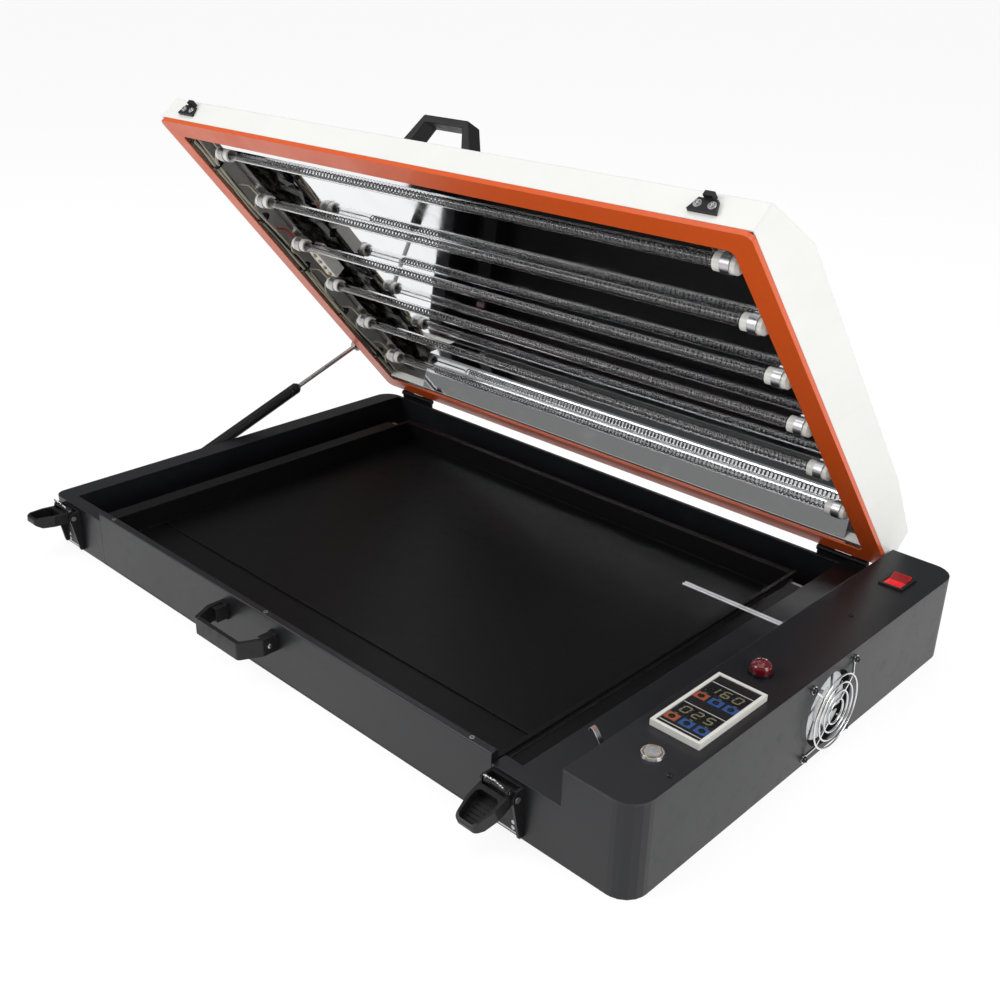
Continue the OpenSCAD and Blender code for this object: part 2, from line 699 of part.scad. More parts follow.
// Hinge knuckles: the middle one belongs to the base, the outer two to the lid
knuckle_l = hinge_l / 3;
module knuckle(l) rotate([0, 90, 0]) difference() {
    cylinder(r = hinge_r, h = l);
    translate([0, 0, -over]) cylinder(r = hinge_pin_r + pin_gap, h = l + 2 * over);
}
module hinge_base_leaves() color(steel) at_corner() for (x = hinge_places) translate([x - hinge_l / 2, 0, 0]) {
    translate([0, body_d, hinge_z - hinge_leaf_h]) cube([hinge_l, hinge_leaf_t, hinge_leaf_h - hinge_r - run_gap]);
    difference() {
        translate([knuckle_l + run_gap, body_d, hinge_z - hinge_leaf_h])
            cube([knuckle_l - 2 * run_gap, hinge_leaf_t, hinge_leaf_h]);
        translate([0, hinge_y, hinge_z]) rod_x(hinge_r - run_gap, hinge_l);
    }
    translate([knuckle_l + run_gap, hinge_y, hinge_z]) knuckle(knuckle_l - 2 * run_gap);
}
module hinge_lid_leaves() color(steel) at_lid() translate([-lid_x, -lid_y, -lid_z]) for (x = hinge_places)
    translate([x - hinge_l / 2, 0, 0]) {
        rear = lid_y + lid_d;
        translate([0, rear, hinge_z + hinge_r + run_gap]) cube([hinge_l, hinge_leaf_t, hinge_leaf_h]);
        for (k = [0, 2]) translate([k * knuckle_l, 0, 0]) {
            difference() {
                translate([0, rear, hinge_z]) cube([knuckle_l, hinge_leaf_t, hinge_leaf_h]);
                translate([-over, hinge_y, hinge_z]) rod_x(hinge_r - run_gap, knuckle_l + 2 * over);
            }
            translate([0, hinge_y, hinge_z]) knuckle(knuckle_l);
        }
    }
module hinge_pins() color(steel) at_corner() for (x = hinge_places)
    translate([x - hinge_l / 2 - run_gap, hinge_y, hinge_z]) rod_x(hinge_pin_r, hinge_l + 2 * run_gap);

// Gas strut: where its two pivots are, and its direction with the lid open
strut_low = [strut_base_y, strut_base_z];
strut_closed = [lid_y + lid_d - strut_lid_a, lid_z + strut_lid_b];
strut_arm = strut_closed - [hinge_y, hinge_z];
strut_high = [hinge_y, hinge_z] + [strut_arm.x * cos(lid_open) + strut_arm.y * sin(lid_open),
    strut_arm.y * cos(lid_open) - strut_arm.x * sin(lid_open)];
strut_run = strut_high - strut_low;
strut_angle = atan2(strut_run.y, strut_run.x);
strut_length = norm(strut_run);
strut_gland_l = 12;
strut_bore_r = strut_r - sheet;
strut_stroke_room = 130;
strut_rod_in = 60;
piston_l = 8;
module at_strut() at_corner() translate([strut_x, strut_base_y, strut_base_z]) rotate([strut_angle, 0, 0]) children();
module strut_base_stud() color(steel) at_corner() translate([0, strut_base_y, strut_base_z]) {
    translate([-stud_plate_t, -strut_eye_r * 2, -strut_eye_r * 2]) cube([stud_plate_t, strut_eye_r * 4, strut_eye_r * 3]);
    translate([strut_x - strut_eye_w / 2, 0, 0]) rod_x(strut_pin_r, -strut_x + strut_eye_w / 2 - stud_plate_t / 2);
}
module strut_cylinder() color(soft_black) at_strut() difference() {
    body_start = strut_eye_r * 2;
    bore_end = strut_body_l - strut_gland_l;
    union() {
        translate([-strut_eye_w / 2, 0, 0]) rod_x(strut_eye_r, strut_eye_w);
        rotate([-90, 0, 0]) rotate_extrude() polygon([[0, 0], [strut_eye_w / 3, 0], [strut_eye_w / 3, body_start],
            [strut_r - sheet, body_start], [strut_r, body_start + sheet], [strut_r, strut_body_l - strut_r / 2],
            [strut_r * 2 / 3, strut_body_l], [strut_rod_r + pin_gap, strut_body_l], [strut_rod_r + pin_gap, bore_end],
            [strut_bore_r, bore_end], [strut_bore_r, bore_end - strut_stroke_room], [0, bore_end - strut_stroke_room]]);
    }
    translate([-strut_eye_w, 0, 0]) rod_x(strut_pin_r + pin_gap, strut_eye_w * 2);
}
module strut_rod() color(steel) at_strut() {
    translate([0, strut_length - strut_rod_l, 0]) rod_y(strut_rod_r, strut_rod_l - strut_eye_r / 2);
    translate([0, strut_length - strut_rod_l, 0]) rod_y(strut_bore_r - pin_gap * 2, piston_l);
    translate([-strut_eye_w / 2, strut_length, 0]) rod_x(strut_eye_r, strut_eye_w);
}
strut_rod_l = strut_length - strut_body_l + strut_rod_in;
module strut_lid_stud() color(steel) at_lid() translate([0, lid_d - strut_lid_a, strut_lid_b]) {
    eye_face = strut_x + strut_eye_w / 2 - lid_x;
    translate([-sheet, -strut_eye_r * 2, -strut_lid_b + sheet / 2]) cube([sheet, strut_eye_r * 4, strut_eye_r * 2]);
    translate([eye_face + run_gap, 0, 0]) rod_x(strut_pin_r, -eye_face - run_gap - sheet / 2);
}

// Toggle latches: housings on the base's front, seen from the housing's own middle
module at_latches() at_corner() for (x = [latch_left_x, latch_right_x]) translate([x, 0, 0]) children();
housing_low = 3;
housing_top = 52;
cheek_r = 2;
module latch_housings() color(soft_black) at_latches() {
    translate([-latch_w / 2, -latch_cheek, housing_low]) cube([latch_w, latch_cheek, housing_top - housing_low]);
    for (x = [-latch_w / 2, latch_w / 2 - latch_cheek]) translate([x, 0, 0]) difference() {
        along_x(latch_cheek) polygon(rounded([[-latch_y - latch_cheek * 2, housing_top - latch_cheek * 2], [-latch_y, housing_top],
            [0, housing_top], [0, housing_low], [-latch_cheek * 2, housing_low], [-latch_y - latch_cheek, latch_z - latch_y]],
            [cheek_r, cheek_r, 0, 0, cheek_r, cheek_r], 3));
        translate([-over, -latch_y, latch_z]) rod_x(latch_pin_r + pin_gap, latch_cheek + 2 * over);
    }
}
module latch_pins() color(steel) at_latches() translate([-latch_w / 2 - sheet / 2, -latch_y, latch_z]) {
    rod_x(latch_pin_r, latch_w + sheet);
    for (x = [-sheet / 2, latch_w + sheet]) translate([x, 0, 0]) rod_x(latch_pin_r + sheet / 2, sheet / 2);
}

// Boat-shaped lever with a thumb recess; f runs forward from the pivot
lever_w = latch_w - 2 * latch_cheek - 2 * run_gap;
lever_low = 6;
ear_back = 1;
lever_top = 6.5;
lever_nose_r = 3;
lever_wall = 3;
pocket_r = 5;
module lever() rotate([0, 0, 180]) {
    l = latch_lever_l;
    back = latch_pin_r * 2;
    side = [[-back, -back], [l / 3, -lever_low], [l * 4 / 5, -lever_low], [l, -lever_low / 4],
        [l, lever_top * 2 / 3], [l * 7 / 8, lever_top], [back, lever_top], [-back, back]];
    plan = [[-lever_w / 2, -back], [lever_w / 2, -back], [lever_w / 2, l / 2], [lever_w / 3, l], [-lever_w / 3, l],
        [-lever_w / 2, l / 2]];
    start = hook_f + hook_pin_r * 2 + lever_wall * 2;
    pocket = [[-lever_w / 2 + lever_wall, start], [lever_w / 2 - lever_wall, start],
        [lever_w / 2 - lever_wall, l / 2], [lever_w / 3 - lever_wall / 2, l - lever_wall],
        [-lever_w / 3 + lever_wall / 2, l - lever_wall], [-lever_w / 2 + lever_wall, l / 2]];
    difference() {
        intersection() {
            translate([-lever_w / 2, 0, 0]) along_x(lever_w) polygon(rounded(side, [back / 2, lever_nose_r, lever_nose_r,
                lever_nose_r, lever_nose_r / 2, lever_nose_r / 2, back / 4, back / 2], 4));
            translate([0, 0, -l]) linear_extrude(2 * l) polygon(rounded(plan, [0, 0, pocket_r, pocket_r, pocket_r, pocket_r]));
        }
        translate([0, 0, -lever_low + lever_wall]) linear_extrude(l)
            polygon(rounded(pocket, [pocket_r, pocket_r, pocket_r, pocket_r - lever_wall / 2, pocket_r - lever_wall / 2, pocket_r]));
        translate([-lever_w / 2 - over, 0, 0]) rod_x(latch_pin_r + pin_gap, lever_w + 2 * over);
        translate([-hook_w / 2 - run_gap, -back - over, back / 2 + sheet])
            cube([hook_w + 2 * run_gap, back + over + hook_f + hook_pin_r * 2 + sheet, lever_top]);
    }
}
module at_lever(x, angle) at_corner() translate([x, -latch_y, latch_z]) rotate([-angle, 0, 0]) children();
module lever_ears() for (x = [-lever_w / 2, lever_w / 2 - latch_cheek]) difference() {
    translate([x, 0, 0]) along_x(latch_cheek) polygon(rounded([[-hook_f - hook_pin_r * 3, lever_top - sheet],
        [ear_back, lever_top - sheet], [ear_back, hook_h + hook_pin_r * 2],
        [-hook_f - hook_pin_r * 2, hook_h + hook_pin_r * 2]], [0, 0, hook_pin_r, hook_pin_r]));
    translate([x - over, -hook_f, hook_h]) rod_x(hook_pin_r + pin_gap, latch_cheek + 2 * over);
}
module latch_lever_left() color(soft_black) at_lever(latch_left_x, latch_left_rest) {
    lever();
    lever_ears();
}
module latch_lever_right() color(soft_black) at_lever(latch_right_x, -latch_right_rest) {
    lever();
    lever_ears();
}

// Hook: a sleeve on its own pin in the lever's ears, with a stepped flat wire bail
hook_lean = 35;
hook_w = lever_w - 2 * latch_cheek - 2 * run_gap;
module hook() {
    bail = hook_w / 3;
    step = hook_l / 2;
    path = [[-bail, hook_pin_r], [-bail, step], [-bail / 2, step + 2 * hook_wire_r], [-bail / 2, hook_l],
        [bail / 2, hook_l], [bail / 2, step + 2 * hook_wire_r], [bail, step], [bail, hook_pin_r]];
    translate([-lever_w / 2, 0, 0]) rod_x(hook_pin_r, lever_w);
    translate([-hook_w / 2, 0, 0]) rod_x(hook_pin_r * 2, hook_w);
    translate([0, hook_wire_r, 0]) rotate([90, 0, 0]) linear_extrude(2 * hook_wire_r)
        polygon(band(path, 2 * hook_wire_r));
}
module at_hook(x, angle) at_lever(x, angle) translate([0, -hook_f, hook_h]) rotate([angle + hook_lean, 0, 0]) children();
module latch_hook_left() color(steel) at_hook(latch_left_x, latch_left_rest) hook();
module latch_hook_right() color(steel) at_hook(latch_right_x, -latch_right_rest) hook();

// Controller: silver bezel, and the body that carries the dark face
face_drop = 1;
bezel_w = 3;
module at_panel() at_corner() translate([panel_at.x, panel_at.y, console_h]) children();
module controller_bezel() color(steel) at_panel() difference() {
    translate([-panel_w / 2, -panel_l / 2, 0]) cube([panel_w, panel_l, panel_h]);
    translate([-panel_w / 2 + bezel_w, -panel_l / 2 + bezel_w, -over])
        cube([panel_w - 2 * bezel_w, panel_l - 2 * bezel_w, panel_h + 2 * over]);
}
key_r = 2;
key_x_share = 0.3;
key_row_shares = [-0.33, 0.09];
key_rows = panel_l * key_row_shares;
key_travel = 0.8;
key_h = 3;
module key_at(i) at_panel() translate([(i % 3 - 1) * panel_w * key_x_share, key_rows[floor(i / 3)], panel_h - face_drop])
    children();
module controller_body() color(soft_black) difference() {
    at_panel() union() {
        w = panel_w - 2 * bezel_w - 2 * seat;
        l = panel_l - 2 * bezel_w - 2 * seat;
        translate([-w / 2, -l / 2, -console_h * 3 / 4]) cube([w, l, console_h * 3 / 4 + panel_h - face_drop]);
    }
    for (i = [0 : 5]) key_at(i) translate([0, 0, -key_h - key_travel]) cylinder(r = key_r + seat, h = key_h + key_travel + over);
}
module key(i) color(soft_black) key_at(i) translate([0, 0, -key_h + key_travel]) rotate_extrude()
    polygon([[0, 0], [key_r, 0], [key_r, key_h - key_r / 4], [key_r * 3 / 4, key_h], [0, key_h]]);

// Start button and its ring
ring_h = 2.5;
cap_gap = 0.3;
module start_button_ring() color(steel) at_corner() translate([button_at.x, button_at.y, console_h]) rotate_extrude()
    polygon([[button_d / 2 - ring_h + cap_gap, -console_h / 4], [button_d / 2 - 2 * cap_gap - sheet, -console_h / 4],
        [button_d / 2 - 2 * cap_gap - sheet, 0], [button_d / 2, 0], [button_d / 2 - ring_h / 3, ring_h],
        [button_d / 2 - ring_h + cap_gap, ring_h]]);
module start_button() color(white_paint) at_corner() translate([button_at.x, button_at.y, console_h]) rotate_extrude()
    polygon([[0, -ring_h * 2], [button_d / 2 - ring_h, -ring_h * 2], [button_d / 2 - ring_h, ring_h],
        [button_d / 2 - ring_h * 4 / 3, ring_h * 5 / 4], [0, ring_h * 5 / 4]]);

// Signal lamp: collar and domed lens
dome_h = 10;
module lamp_collar() color(steel) at_corner() translate([lamp_at.x, lamp_at.y, console_h]) rotate_extrude() union() {
    square([lamp_d / 2, ring_h]);
    translate([0, -console_h / 3]) square([lamp_d / 2 - 2 * sheet - cap_gap, console_h / 3]);
}
module lamp_dome() color([0.6, 0.05, 0.08]) at_corner() translate([lamp_at.x, lamp_at.y, console_h + ring_h]) rotate_extrude()
    polygon(concat([[0, 0], [lamp_d / 2 - sheet, 0], [lamp_d / 2 - sheet, dome_h / 3]],
        [for (k = [1 : 8]) [(lamp_d / 2 - sheet) * cos(90 * k / 8), dome_h / 3 + dome_h * 2 / 3 * sin(90 * k / 8)]]));

// Rocker switch: frame and rocker, tilted towards the front
rocker_tilt = 8;
rocker_frame_h = 2;
rocker_rim = 3;
module at_rocker() at_corner() translate([rocker_at.x, rocker_at.y, console_h]) children();
module rocker_frame() color(soft_black) at_rocker() difference() {
    union() {
        translate([-rocker_w / 2, -rocker_l / 2, 0]) cube([rocker_w, rocker_l, rocker_frame_h]);
        translate([-rocker_w / 2 + sheet + seat, -rocker_l / 2 + sheet + seat, -console_h / 4])
            cube([rocker_w - 2 * sheet - 2 * seat, rocker_l - 2 * sheet - 2 * seat, console_h / 4]);
    }
    translate([-rocker_w / 2 + rocker_rim, -rocker_l / 2 + rocker_rim, -rocker_l / 3])
        cube([rocker_w - 2 * rocker_rim, rocker_l - 2 * rocker_rim, rocker_l]);
    translate([-rocker_pin_l / 2 - seat, 0, 0]) rod_x(rocker_pin_r + pin_gap, rocker_pin_l + 2 * seat);
}
rocker_pin_r = 1.2;
rocker_pin_l = rocker_w - rocker_rim * 3 / 2;
module rocker_switch() color([0.8, 0.1, 0.1]) at_rocker() rotate([rocker_tilt, 0, 0]) {
    half = rocker_l / 2 - rocker_rim - run_gap * 2;
    translate([-rocker_pin_l / 2, 0, 0]) rod_x(rocker_pin_r, rocker_pin_l);
    translate([-rocker_w / 2 + rocker_rim + run_gap, 0, 0]) along_x(rocker_w - 2 * rocker_rim - 2 * run_gap)
        polygon([[-half + sheet, -rocker_frame_h], [half - sheet, -rocker_frame_h], [half, half * sin(rocker_tilt) * 2],
            [0, rocker_frame_h / 2], [-half, half * sin(rocker_tilt) * 2]]);
}

// Cooling fan behind the right wall, its rotor and the wire guard outside
fan_t = 25;
fan_bore = fan_side / 2 - sheet;
fan_hub = 18;
module at_fan() at_corner() translate([body_w - sheet, fan_y, fan_z]) rotate([0, 90, 0]) children();
module fan_holes() for (a = [0 : 90 : 270]) rotate([0, 0, a]) translate([fan_pitch / 2, fan_pitch / 2, 0]) children();
module fan_frame() color(soft_black) at_fan() translate([0, 0, -fan_t]) {
    difference() {
        translate([-fan_side / 2, -fan_side / 2, 0]) cube([fan_side, fan_side, fan_t]);
        translate([0, 0, -over]) cylinder(r = fan_bore, h = fan_t + 2 * over);
        translate([0, 0, -over]) fan_holes() cylinder(r = guard_screw_r, h = fan_t + 2 * over);
    }
    difference() {
        cylinder(r = fan_hub, h = rotor_z - run_gap);
        translate([0, 0, sheet]) cylinder(r = rotor_pin_r, h = fan_t);
    }
    for (a = [45 : 90 : 315]) rotate([0, 0, a]) translate([fan_hub - sheet, -sheet, 0])
        cube([fan_bore - fan_hub + 2 * sheet, 2 * sheet, rotor_z - 2 * run_gap]);
}
guard_screw_r = 2.2;
rotor_z = 5;
rotor_pin_r = 2;
blade_count = 7;
blade_t = 1.6;
blade_pitch = 40;
blade_curl = 8;
// Curved section of a blade: across the rotor and along its axis
blade_curve = [for (k = [-3 : 3]) let (a = blade_pitch + blade_curl * k)
    [fan_hub * k / 4, fan_hub / 3 * (sin(a) - sin(blade_pitch))]];
module fan_rotor() color(soft_black) at_fan() translate([0, 0, -fan_t + rotor_z]) {
    cylinder(r = fan_hub, h = fan_t - rotor_z - 2 * sheet);
    translate([0, 0, -rotor_z + 2 * sheet]) cylinder(r = rotor_pin_r - pin_gap, h = rotor_z);
    for (i = [0 : blade_count - 1]) rotate([0, 0, i * 360 / blade_count])
        intersection() {
            translate([0, 0, fan_t / 3]) along_x(fan_side) polygon(band(blade_curve, blade_t));
            translate([0, 0, sheet]) cylinder(r = fan_bore - run_gap, h = fan_t - rotor_z - 4 * sheet);
        }
}

// Wire guard: four arms that end in screw eyes, with rings welded on top of them
guard_wire = 0.9;
guard_rise = 5;
guard_rings = [12, 20, 28, 36];
weld_gap = 0.05;
module guard_arm() {
    reach = fan_pitch / sqrt(2) - guard_screw_r - guard_wire;
    path = [[guard_rings[0] - guard_wire, guard_rise - guard_wire], [guard_rings[3] + guard_wire, guard_rise - guard_wire],
        [reach, 0], [reach + guard_wire, 0]];
    translate([0, guard_wire, 0]) rotate([90, 0, 0]) linear_extrude(2 * guard_wire) polygon(band(path, 2 * guard_wire));
    translate([fan_pitch / sqrt(2), 0, 0]) difference() {
        cylinder(r = guard_screw_r + 2 * guard_wire, h = 2 * guard_wire);
        translate([0, 0, -over]) cylinder(r = guard_screw_r, h = 2 * guard_wire + 2 * over);
    }
}
module fan_guard() color(steel) at_fan() translate([0, 0, sheet + seat]) {
    for (r = guard_rings) translate([0, 0, guard_rise + 2 * guard_wire + weld_gap]) rotate_extrude() translate([r, 0])
        circle(r = guard_wire);
    for (a = [45 : 90 : 315]) rotate([0, 0, a]) guard_arm();
}

console_screw_in = [[61, 51], [38, 365]];
console_screw_places = [for (p = console_screw_in) [console_x + p.x, p.y]];
module panel_screws() color(steel) {
    at_fan() translate([0, 0, sheet + 2 * guard_wire + 2 * seat]) fan_holes() screw_head(guard_screw_r + guard_wire);
    at_corner() for (p = console_screw_places) translate([p.x, p.y, console_h]) screw_head(guard_screw_r);
}

// Lid switch inside the console, its lever through the slot
switch_pivot_x = 3.5;
switch_arm = 27;
switch_rest = 52;
switch_t = 1;
module limit_switch_body() color(soft_black) at_corner() translate([console_x + sheet + seat, switch_y, 0]) difference() {
    translate([0, -switch_w, switch_z - switch_w]) cube([switch_w, switch_w * 2, switch_w * 2]);
    translate([-over, -switch_w / 2 - run_gap, switch_z - switch_w / 3]) cube([switch_w * 2 / 3 + over, switch_w + 2 * run_gap, switch_w * 2]);
}
module limit_switch_lever() color(steel) at_corner() translate([console_x + sheet + switch_pivot_x, switch_y, switch_z])
    rotate([0, switch_rest, 0]) translate([0, -switch_w / 2, 0]) {
        translate([-switch_arm, 0, -switch_t / 2]) cube([switch_arm, switch_w, switch_t]);
        rotate([-90, 0, 0]) cylinder(r = switch_t * 1.5, h = switch_w);
    }

// Temperature probe: gland in the console's inner wall and two bare rods, which pass under the closed lid
probe_r = 1.4;
probe_l = 137;
module probe_gland() color(steel) at_corner() translate([console_x, probe_y, probe_z]) difference() {
    union() {
        translate([-sheet, 0, 0]) rod_x(probe_gland_r + sheet, sheet);
        rod_x(probe_gland_r - seat, console_w / 4);
        translate([sheet, 0, 0]) rod_x(probe_gland_r + sheet, ring_h * 2);
    }
    for (side = [-1, 1]) translate([-sheet - over, side * probe_r * 3 / 2, 0])
        rod_x(probe_r + pin_gap, console_w / 4 + sheet + 2 * over);
}
module probe_rods() color(steel) at_corner() for (side = [-1, 1])
    translate([console_x - probe_l, probe_y + side * probe_r * 3 / 2, probe_z]) rod_x(probe_r, probe_l + console_w / 8);

// Mains inlet on the console's rear wall
inlet_w = 48;
inlet_h = 28;
inlet_t = 3;
module power_inlet() color(soft_black) at_corner() translate([console_x + corner_r / 2, body_d, console_h / 3]) difference() {
    cube([inlet_w * 2 / 3, inlet_t, inlet_h]);
    translate([inlet_w / 6, inlet_t / 3, inlet_h / 4]) cube([inlet_w / 3, inlet_t, inlet_h / 2]);
}

base_shell();
bottom_plate();
console_cover();
slide_rails();
hinge_base_leaves();
hinge_pins();
strut_base_stud();
latch_housings();
latch_pins();
controller_bezel();
controller_body();
start_button_ring();
lamp_collar();
lamp_dome();
rocker_frame();
fan_frame();
fan_guard();
panel_screws();
limit_switch_body();
probe_gland();
probe_rods();
power_inlet();
tray_pan();
drawer_front();
tray_plate();
drawer_screws();
tray_runners();
handle_brackets();
drawer_handle();
lid_shell();
lid_frame();
reflector();
tube_brackets();
quartz_tubes();
filaments();
tube_caps();
tube_clips();
terminal_block();
lid_wiring();
lid_handle();
keepers();
keeper_screws();
hinge_lid_leaves();
strut_lid_stud();
strut_cylinder();
strut_rod();
latch_lever_left();
latch_lever_right();
latch_hook_left();
latch_hook_right();
start_button();
rocker_switch();
fan_rotor();
limit_switch_lever();
key(0);  // key_1
key(1);  // key_2
key(2);  // key_3
key(3);  // key_4
key(4);  // key_5
key(5);  // key_6
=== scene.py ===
"""Table-top curing oven: finishes, fine pieces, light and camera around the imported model."""

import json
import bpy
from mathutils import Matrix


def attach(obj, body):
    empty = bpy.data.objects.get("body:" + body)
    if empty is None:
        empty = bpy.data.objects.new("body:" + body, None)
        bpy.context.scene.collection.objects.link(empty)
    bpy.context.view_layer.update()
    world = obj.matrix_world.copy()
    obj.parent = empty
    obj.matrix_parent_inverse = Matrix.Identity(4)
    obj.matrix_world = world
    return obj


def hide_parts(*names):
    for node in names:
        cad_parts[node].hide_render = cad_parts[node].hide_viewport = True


bl_info = {
    "name": "Curing Oven Dressing",
    "version": (1, 0, 0),
    "blender": (4, 5, 0),
    "location": "View3D > Sidebar > Oven",
    "description": "Adds finishes and fine pieces to the packed curing oven",
    "category": "Object",
}

from math import atan2, cos, radians, sin, tau

import bmesh
import bpy
from mathutils import Matrix, Vector

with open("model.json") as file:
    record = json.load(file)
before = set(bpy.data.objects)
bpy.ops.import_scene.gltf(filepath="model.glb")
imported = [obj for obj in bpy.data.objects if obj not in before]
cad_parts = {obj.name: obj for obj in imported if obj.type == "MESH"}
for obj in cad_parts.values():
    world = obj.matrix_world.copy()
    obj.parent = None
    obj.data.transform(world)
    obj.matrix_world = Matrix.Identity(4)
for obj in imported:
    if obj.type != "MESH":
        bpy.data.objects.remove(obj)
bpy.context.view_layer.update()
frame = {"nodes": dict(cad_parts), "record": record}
NODES = frame["nodes"]
MM = 0.001

# Places in millimetres, from the front left corner of the base, and the lid's angle in degrees.
BASE_CORNER = Vector((-430.0, -260.0, 0.0))
HINGE = Vector((0.0, 520.5, 62.5))
LID_CORNER = Vector((1.0, -2.0, 65.2))
LID_OPEN = 49.6


def at(x, y, z):
    """A point of the base in the row frame, in metres."""
    return (BASE_CORNER + Vector((x, y, z))) * MM


def spin(angle, axis="X"):
    """The matrix of a turn in degrees about an axis."""
    return Matrix.Rotation(radians(angle), 4, axis)


def move(x, y, z):
    """The matrix that puts a piece made in millimetres at a point of the base."""
    return Matrix.Scale(MM, 4) @ Matrix.Translation(BASE_CORNER + Vector((x, y, z)))


# Matrices that put a piece made in millimetres on the base, in the row frame or on the lid.
HOME = move(0, 0, 0)
ROW = Matrix.Scale(MM, 4)
LID = (
    Matrix.Scale(MM, 4)
    @ Matrix.Translation(BASE_CORNER + HINGE)
    @ spin(-LID_OPEN)
    @ Matrix.Translation(LID_CORNER - HINGE)
)


# Settings that a user may change.
def size(name, text, value):
    """A length in millimetres that a user may change."""
    return bpy.props.FloatProperty(
        name=name, description=text, default=value, min=0.0, subtype="DISTANCE_CAMERA"
    )


def colour(name, text, value):
    """A linear colour that a user may change."""
    return bpy.props.FloatVectorProperty(
        name=name, description=text, default=value, subtype="COLOR", size=3, min=0, max=1
    )


class OvenSizes(bpy.types.PropertyGroup):
    """Lengths of the fine pieces, in millimetres."""

    coil_radius: size("Coil radius", "Middle of the wire of a heating coil", 3.3)
    coil_wire: size("Coil wire", "Radius of the wire of a heating coil", 0.85)
    coil_pitch: size("Coil pitch", "Length of one turn of a heating coil", 5.2)
    tube_pitch: size("Tube pitch", "Distance from one tube to the next", 77.4)
    first_tube: size("First tube", "Middle of the first tube from the lid's front", 56.0)
    tube_height: size("Tube height", "Middle of the tubes above the lid's edge", 12.0)
    coil_start: size("Coil start", "Left end of a coil on the lid", 140.0)
    coil_end: size("Coil end", "Right end of a coil on the lid", 726.0)
    grain: size("Grain", "Size of the powder coat's grain", 0.7)
    edge: size("Edge", "Radius at which a painted edge catches light", 0.7)


class OvenColours(bpy.types.PropertyGroup):
    """Colours of the finishes."""

    charcoal: colour("Charcoal", "Powder coat of the base", (0.0085, 0.009, 0.0112))
    black: colour("Black", "Paint inside the base and on the tray", (0.0035, 0.0035, 0.004))
    plastic: colour("Plastic", "Moulded black plastic", (0.008, 0.008, 0.009))
    white: colour("White", "Paint of the lid", (0.84, 0.84, 0.81))
    orange: colour("Orange", "Paint of the lid's frame", (0.72, 0.1, 0.013))
    mirror: colour("Mirror", "Polished reflector", (0.86, 0.87, 0.88))
    steel: colour("Steel", "Bare steel", (0.55, 0.55, 0.56))
    chrome: colour("Chrome", "Plated wire and rings", (0.78, 0.78, 0.79))
    wire: colour("Wire", "Oxidised heating wire", (0.17, 0.16, 0.155))
    ceramic: colour("Ceramic", "Glazed ceramic", (0.83, 0.81, 0.76))
    sleeve: colour("Sleeve", "Woven sleeve of the loom", (0.62, 0.57, 0.45))
    lens: colour("Lens", "Lens of the signal lamp", (0.17, 0.002, 0.009))
    rocker: colour("Rocker", "Rocker of the switch", (0.9, 0.012, 0.02))
    pocket: colour("Pocket", "Warm block round a key", (0.28, 0.07, 0.035))
    pocket_blue: colour("Blue pocket", "Cold block round a key", (0.02, 0.07, 0.22))
    digit: colour("Digit", "Dim segments of the display", (0.16, 0.15, 0.09))
    fan: colour("Fan", "Pale plastic of the fan", (0.66, 0.67, 0.68))
    bezel: colour("Bezel", "Pale rim of the controller", (0.72, 0.71, 0.67))
    foil: colour("Foil", "Dull sheet behind the left tube ends", (0.1, 0.1, 0.095))
    brass: colour("Brass", "Terminals and studs", (0.62, 0.45, 0.2))
    red: colour("Red", "Red sleeve of a lead", (0.5, 0.02, 0.02))


def sizes():
    """The lengths that the user has set."""
    return bpy.context.scene.oven_sizes


def colours():
    """The colours that the user has set."""
    return bpy.context.scene.oven_colours


# Shader nodes.
class Wire:
    """An output of a shader node. Sums written with it add Math nodes."""

    def __init__(self, nodes, socket):
        self.nodes = nodes
        self.socket = socket

    def math(self, operation, first, second):
        """One Math node on two numbers or wires."""
        return self.nodes.node("ShaderNodeMath", {"operation": operation}, {0: first, 1: second})

    def __add__(self, other):
        return self.math("ADD", self, other)

    def __sub__(self, other):
        return self.math("SUBTRACT", self, other)

    def __rsub__(self, other):
        return self.math("SUBTRACT", other, self)

    def __mul__(self, other):
        return self.math("MULTIPLY", self, other)

    __radd__ = __add__
    __rmul__ = __mul__


class Nodes:
    """A tree of shader nodes."""

    def __init__(self, tree):
        self.tree = tree

    def node(self, kind, settings=None, inputs=None, out=0):
        """A node of any kind: its settings first, then its inputs, as values or wires."""
        made = self.tree.nodes.new(kind)
        for key, value in (settings or {}).items():
            if key == "stops":
                self.stops(made.color_ramp, value)
            else:
                setattr(made, key, value)
        for key, value in (inputs or {}).items():
            self.join(made.inputs[key], value)
        return Wire(self, made.outputs[out])

    def join(self, target, value):
        """Links a wire to a socket, or sets the socket's value."""
        if isinstance(value, Wire):
            self.tree.links.new(value.socket, target)
        else:
            target.default_value = value

    def stops(self, ramp, stops):
        """Grey stops of a colour ramp, as pairs of place and value."""
        while len(ramp.elements) < len(stops):
            ramp.elements.new(0.5)
        for element, (place, value) in zip(ramp.elements, stops):
            element.position = place
            element.color = (value, value, value, 1)

    def rays(self):
        """Whether a ray comes from the camera, through glass or off a gloss."""
        kinds = ("Camera", "Transmission", "Glossy")
        return [self.node("ShaderNodeLightPath", out=f"Is {kind} Ray") for kind in kinds]


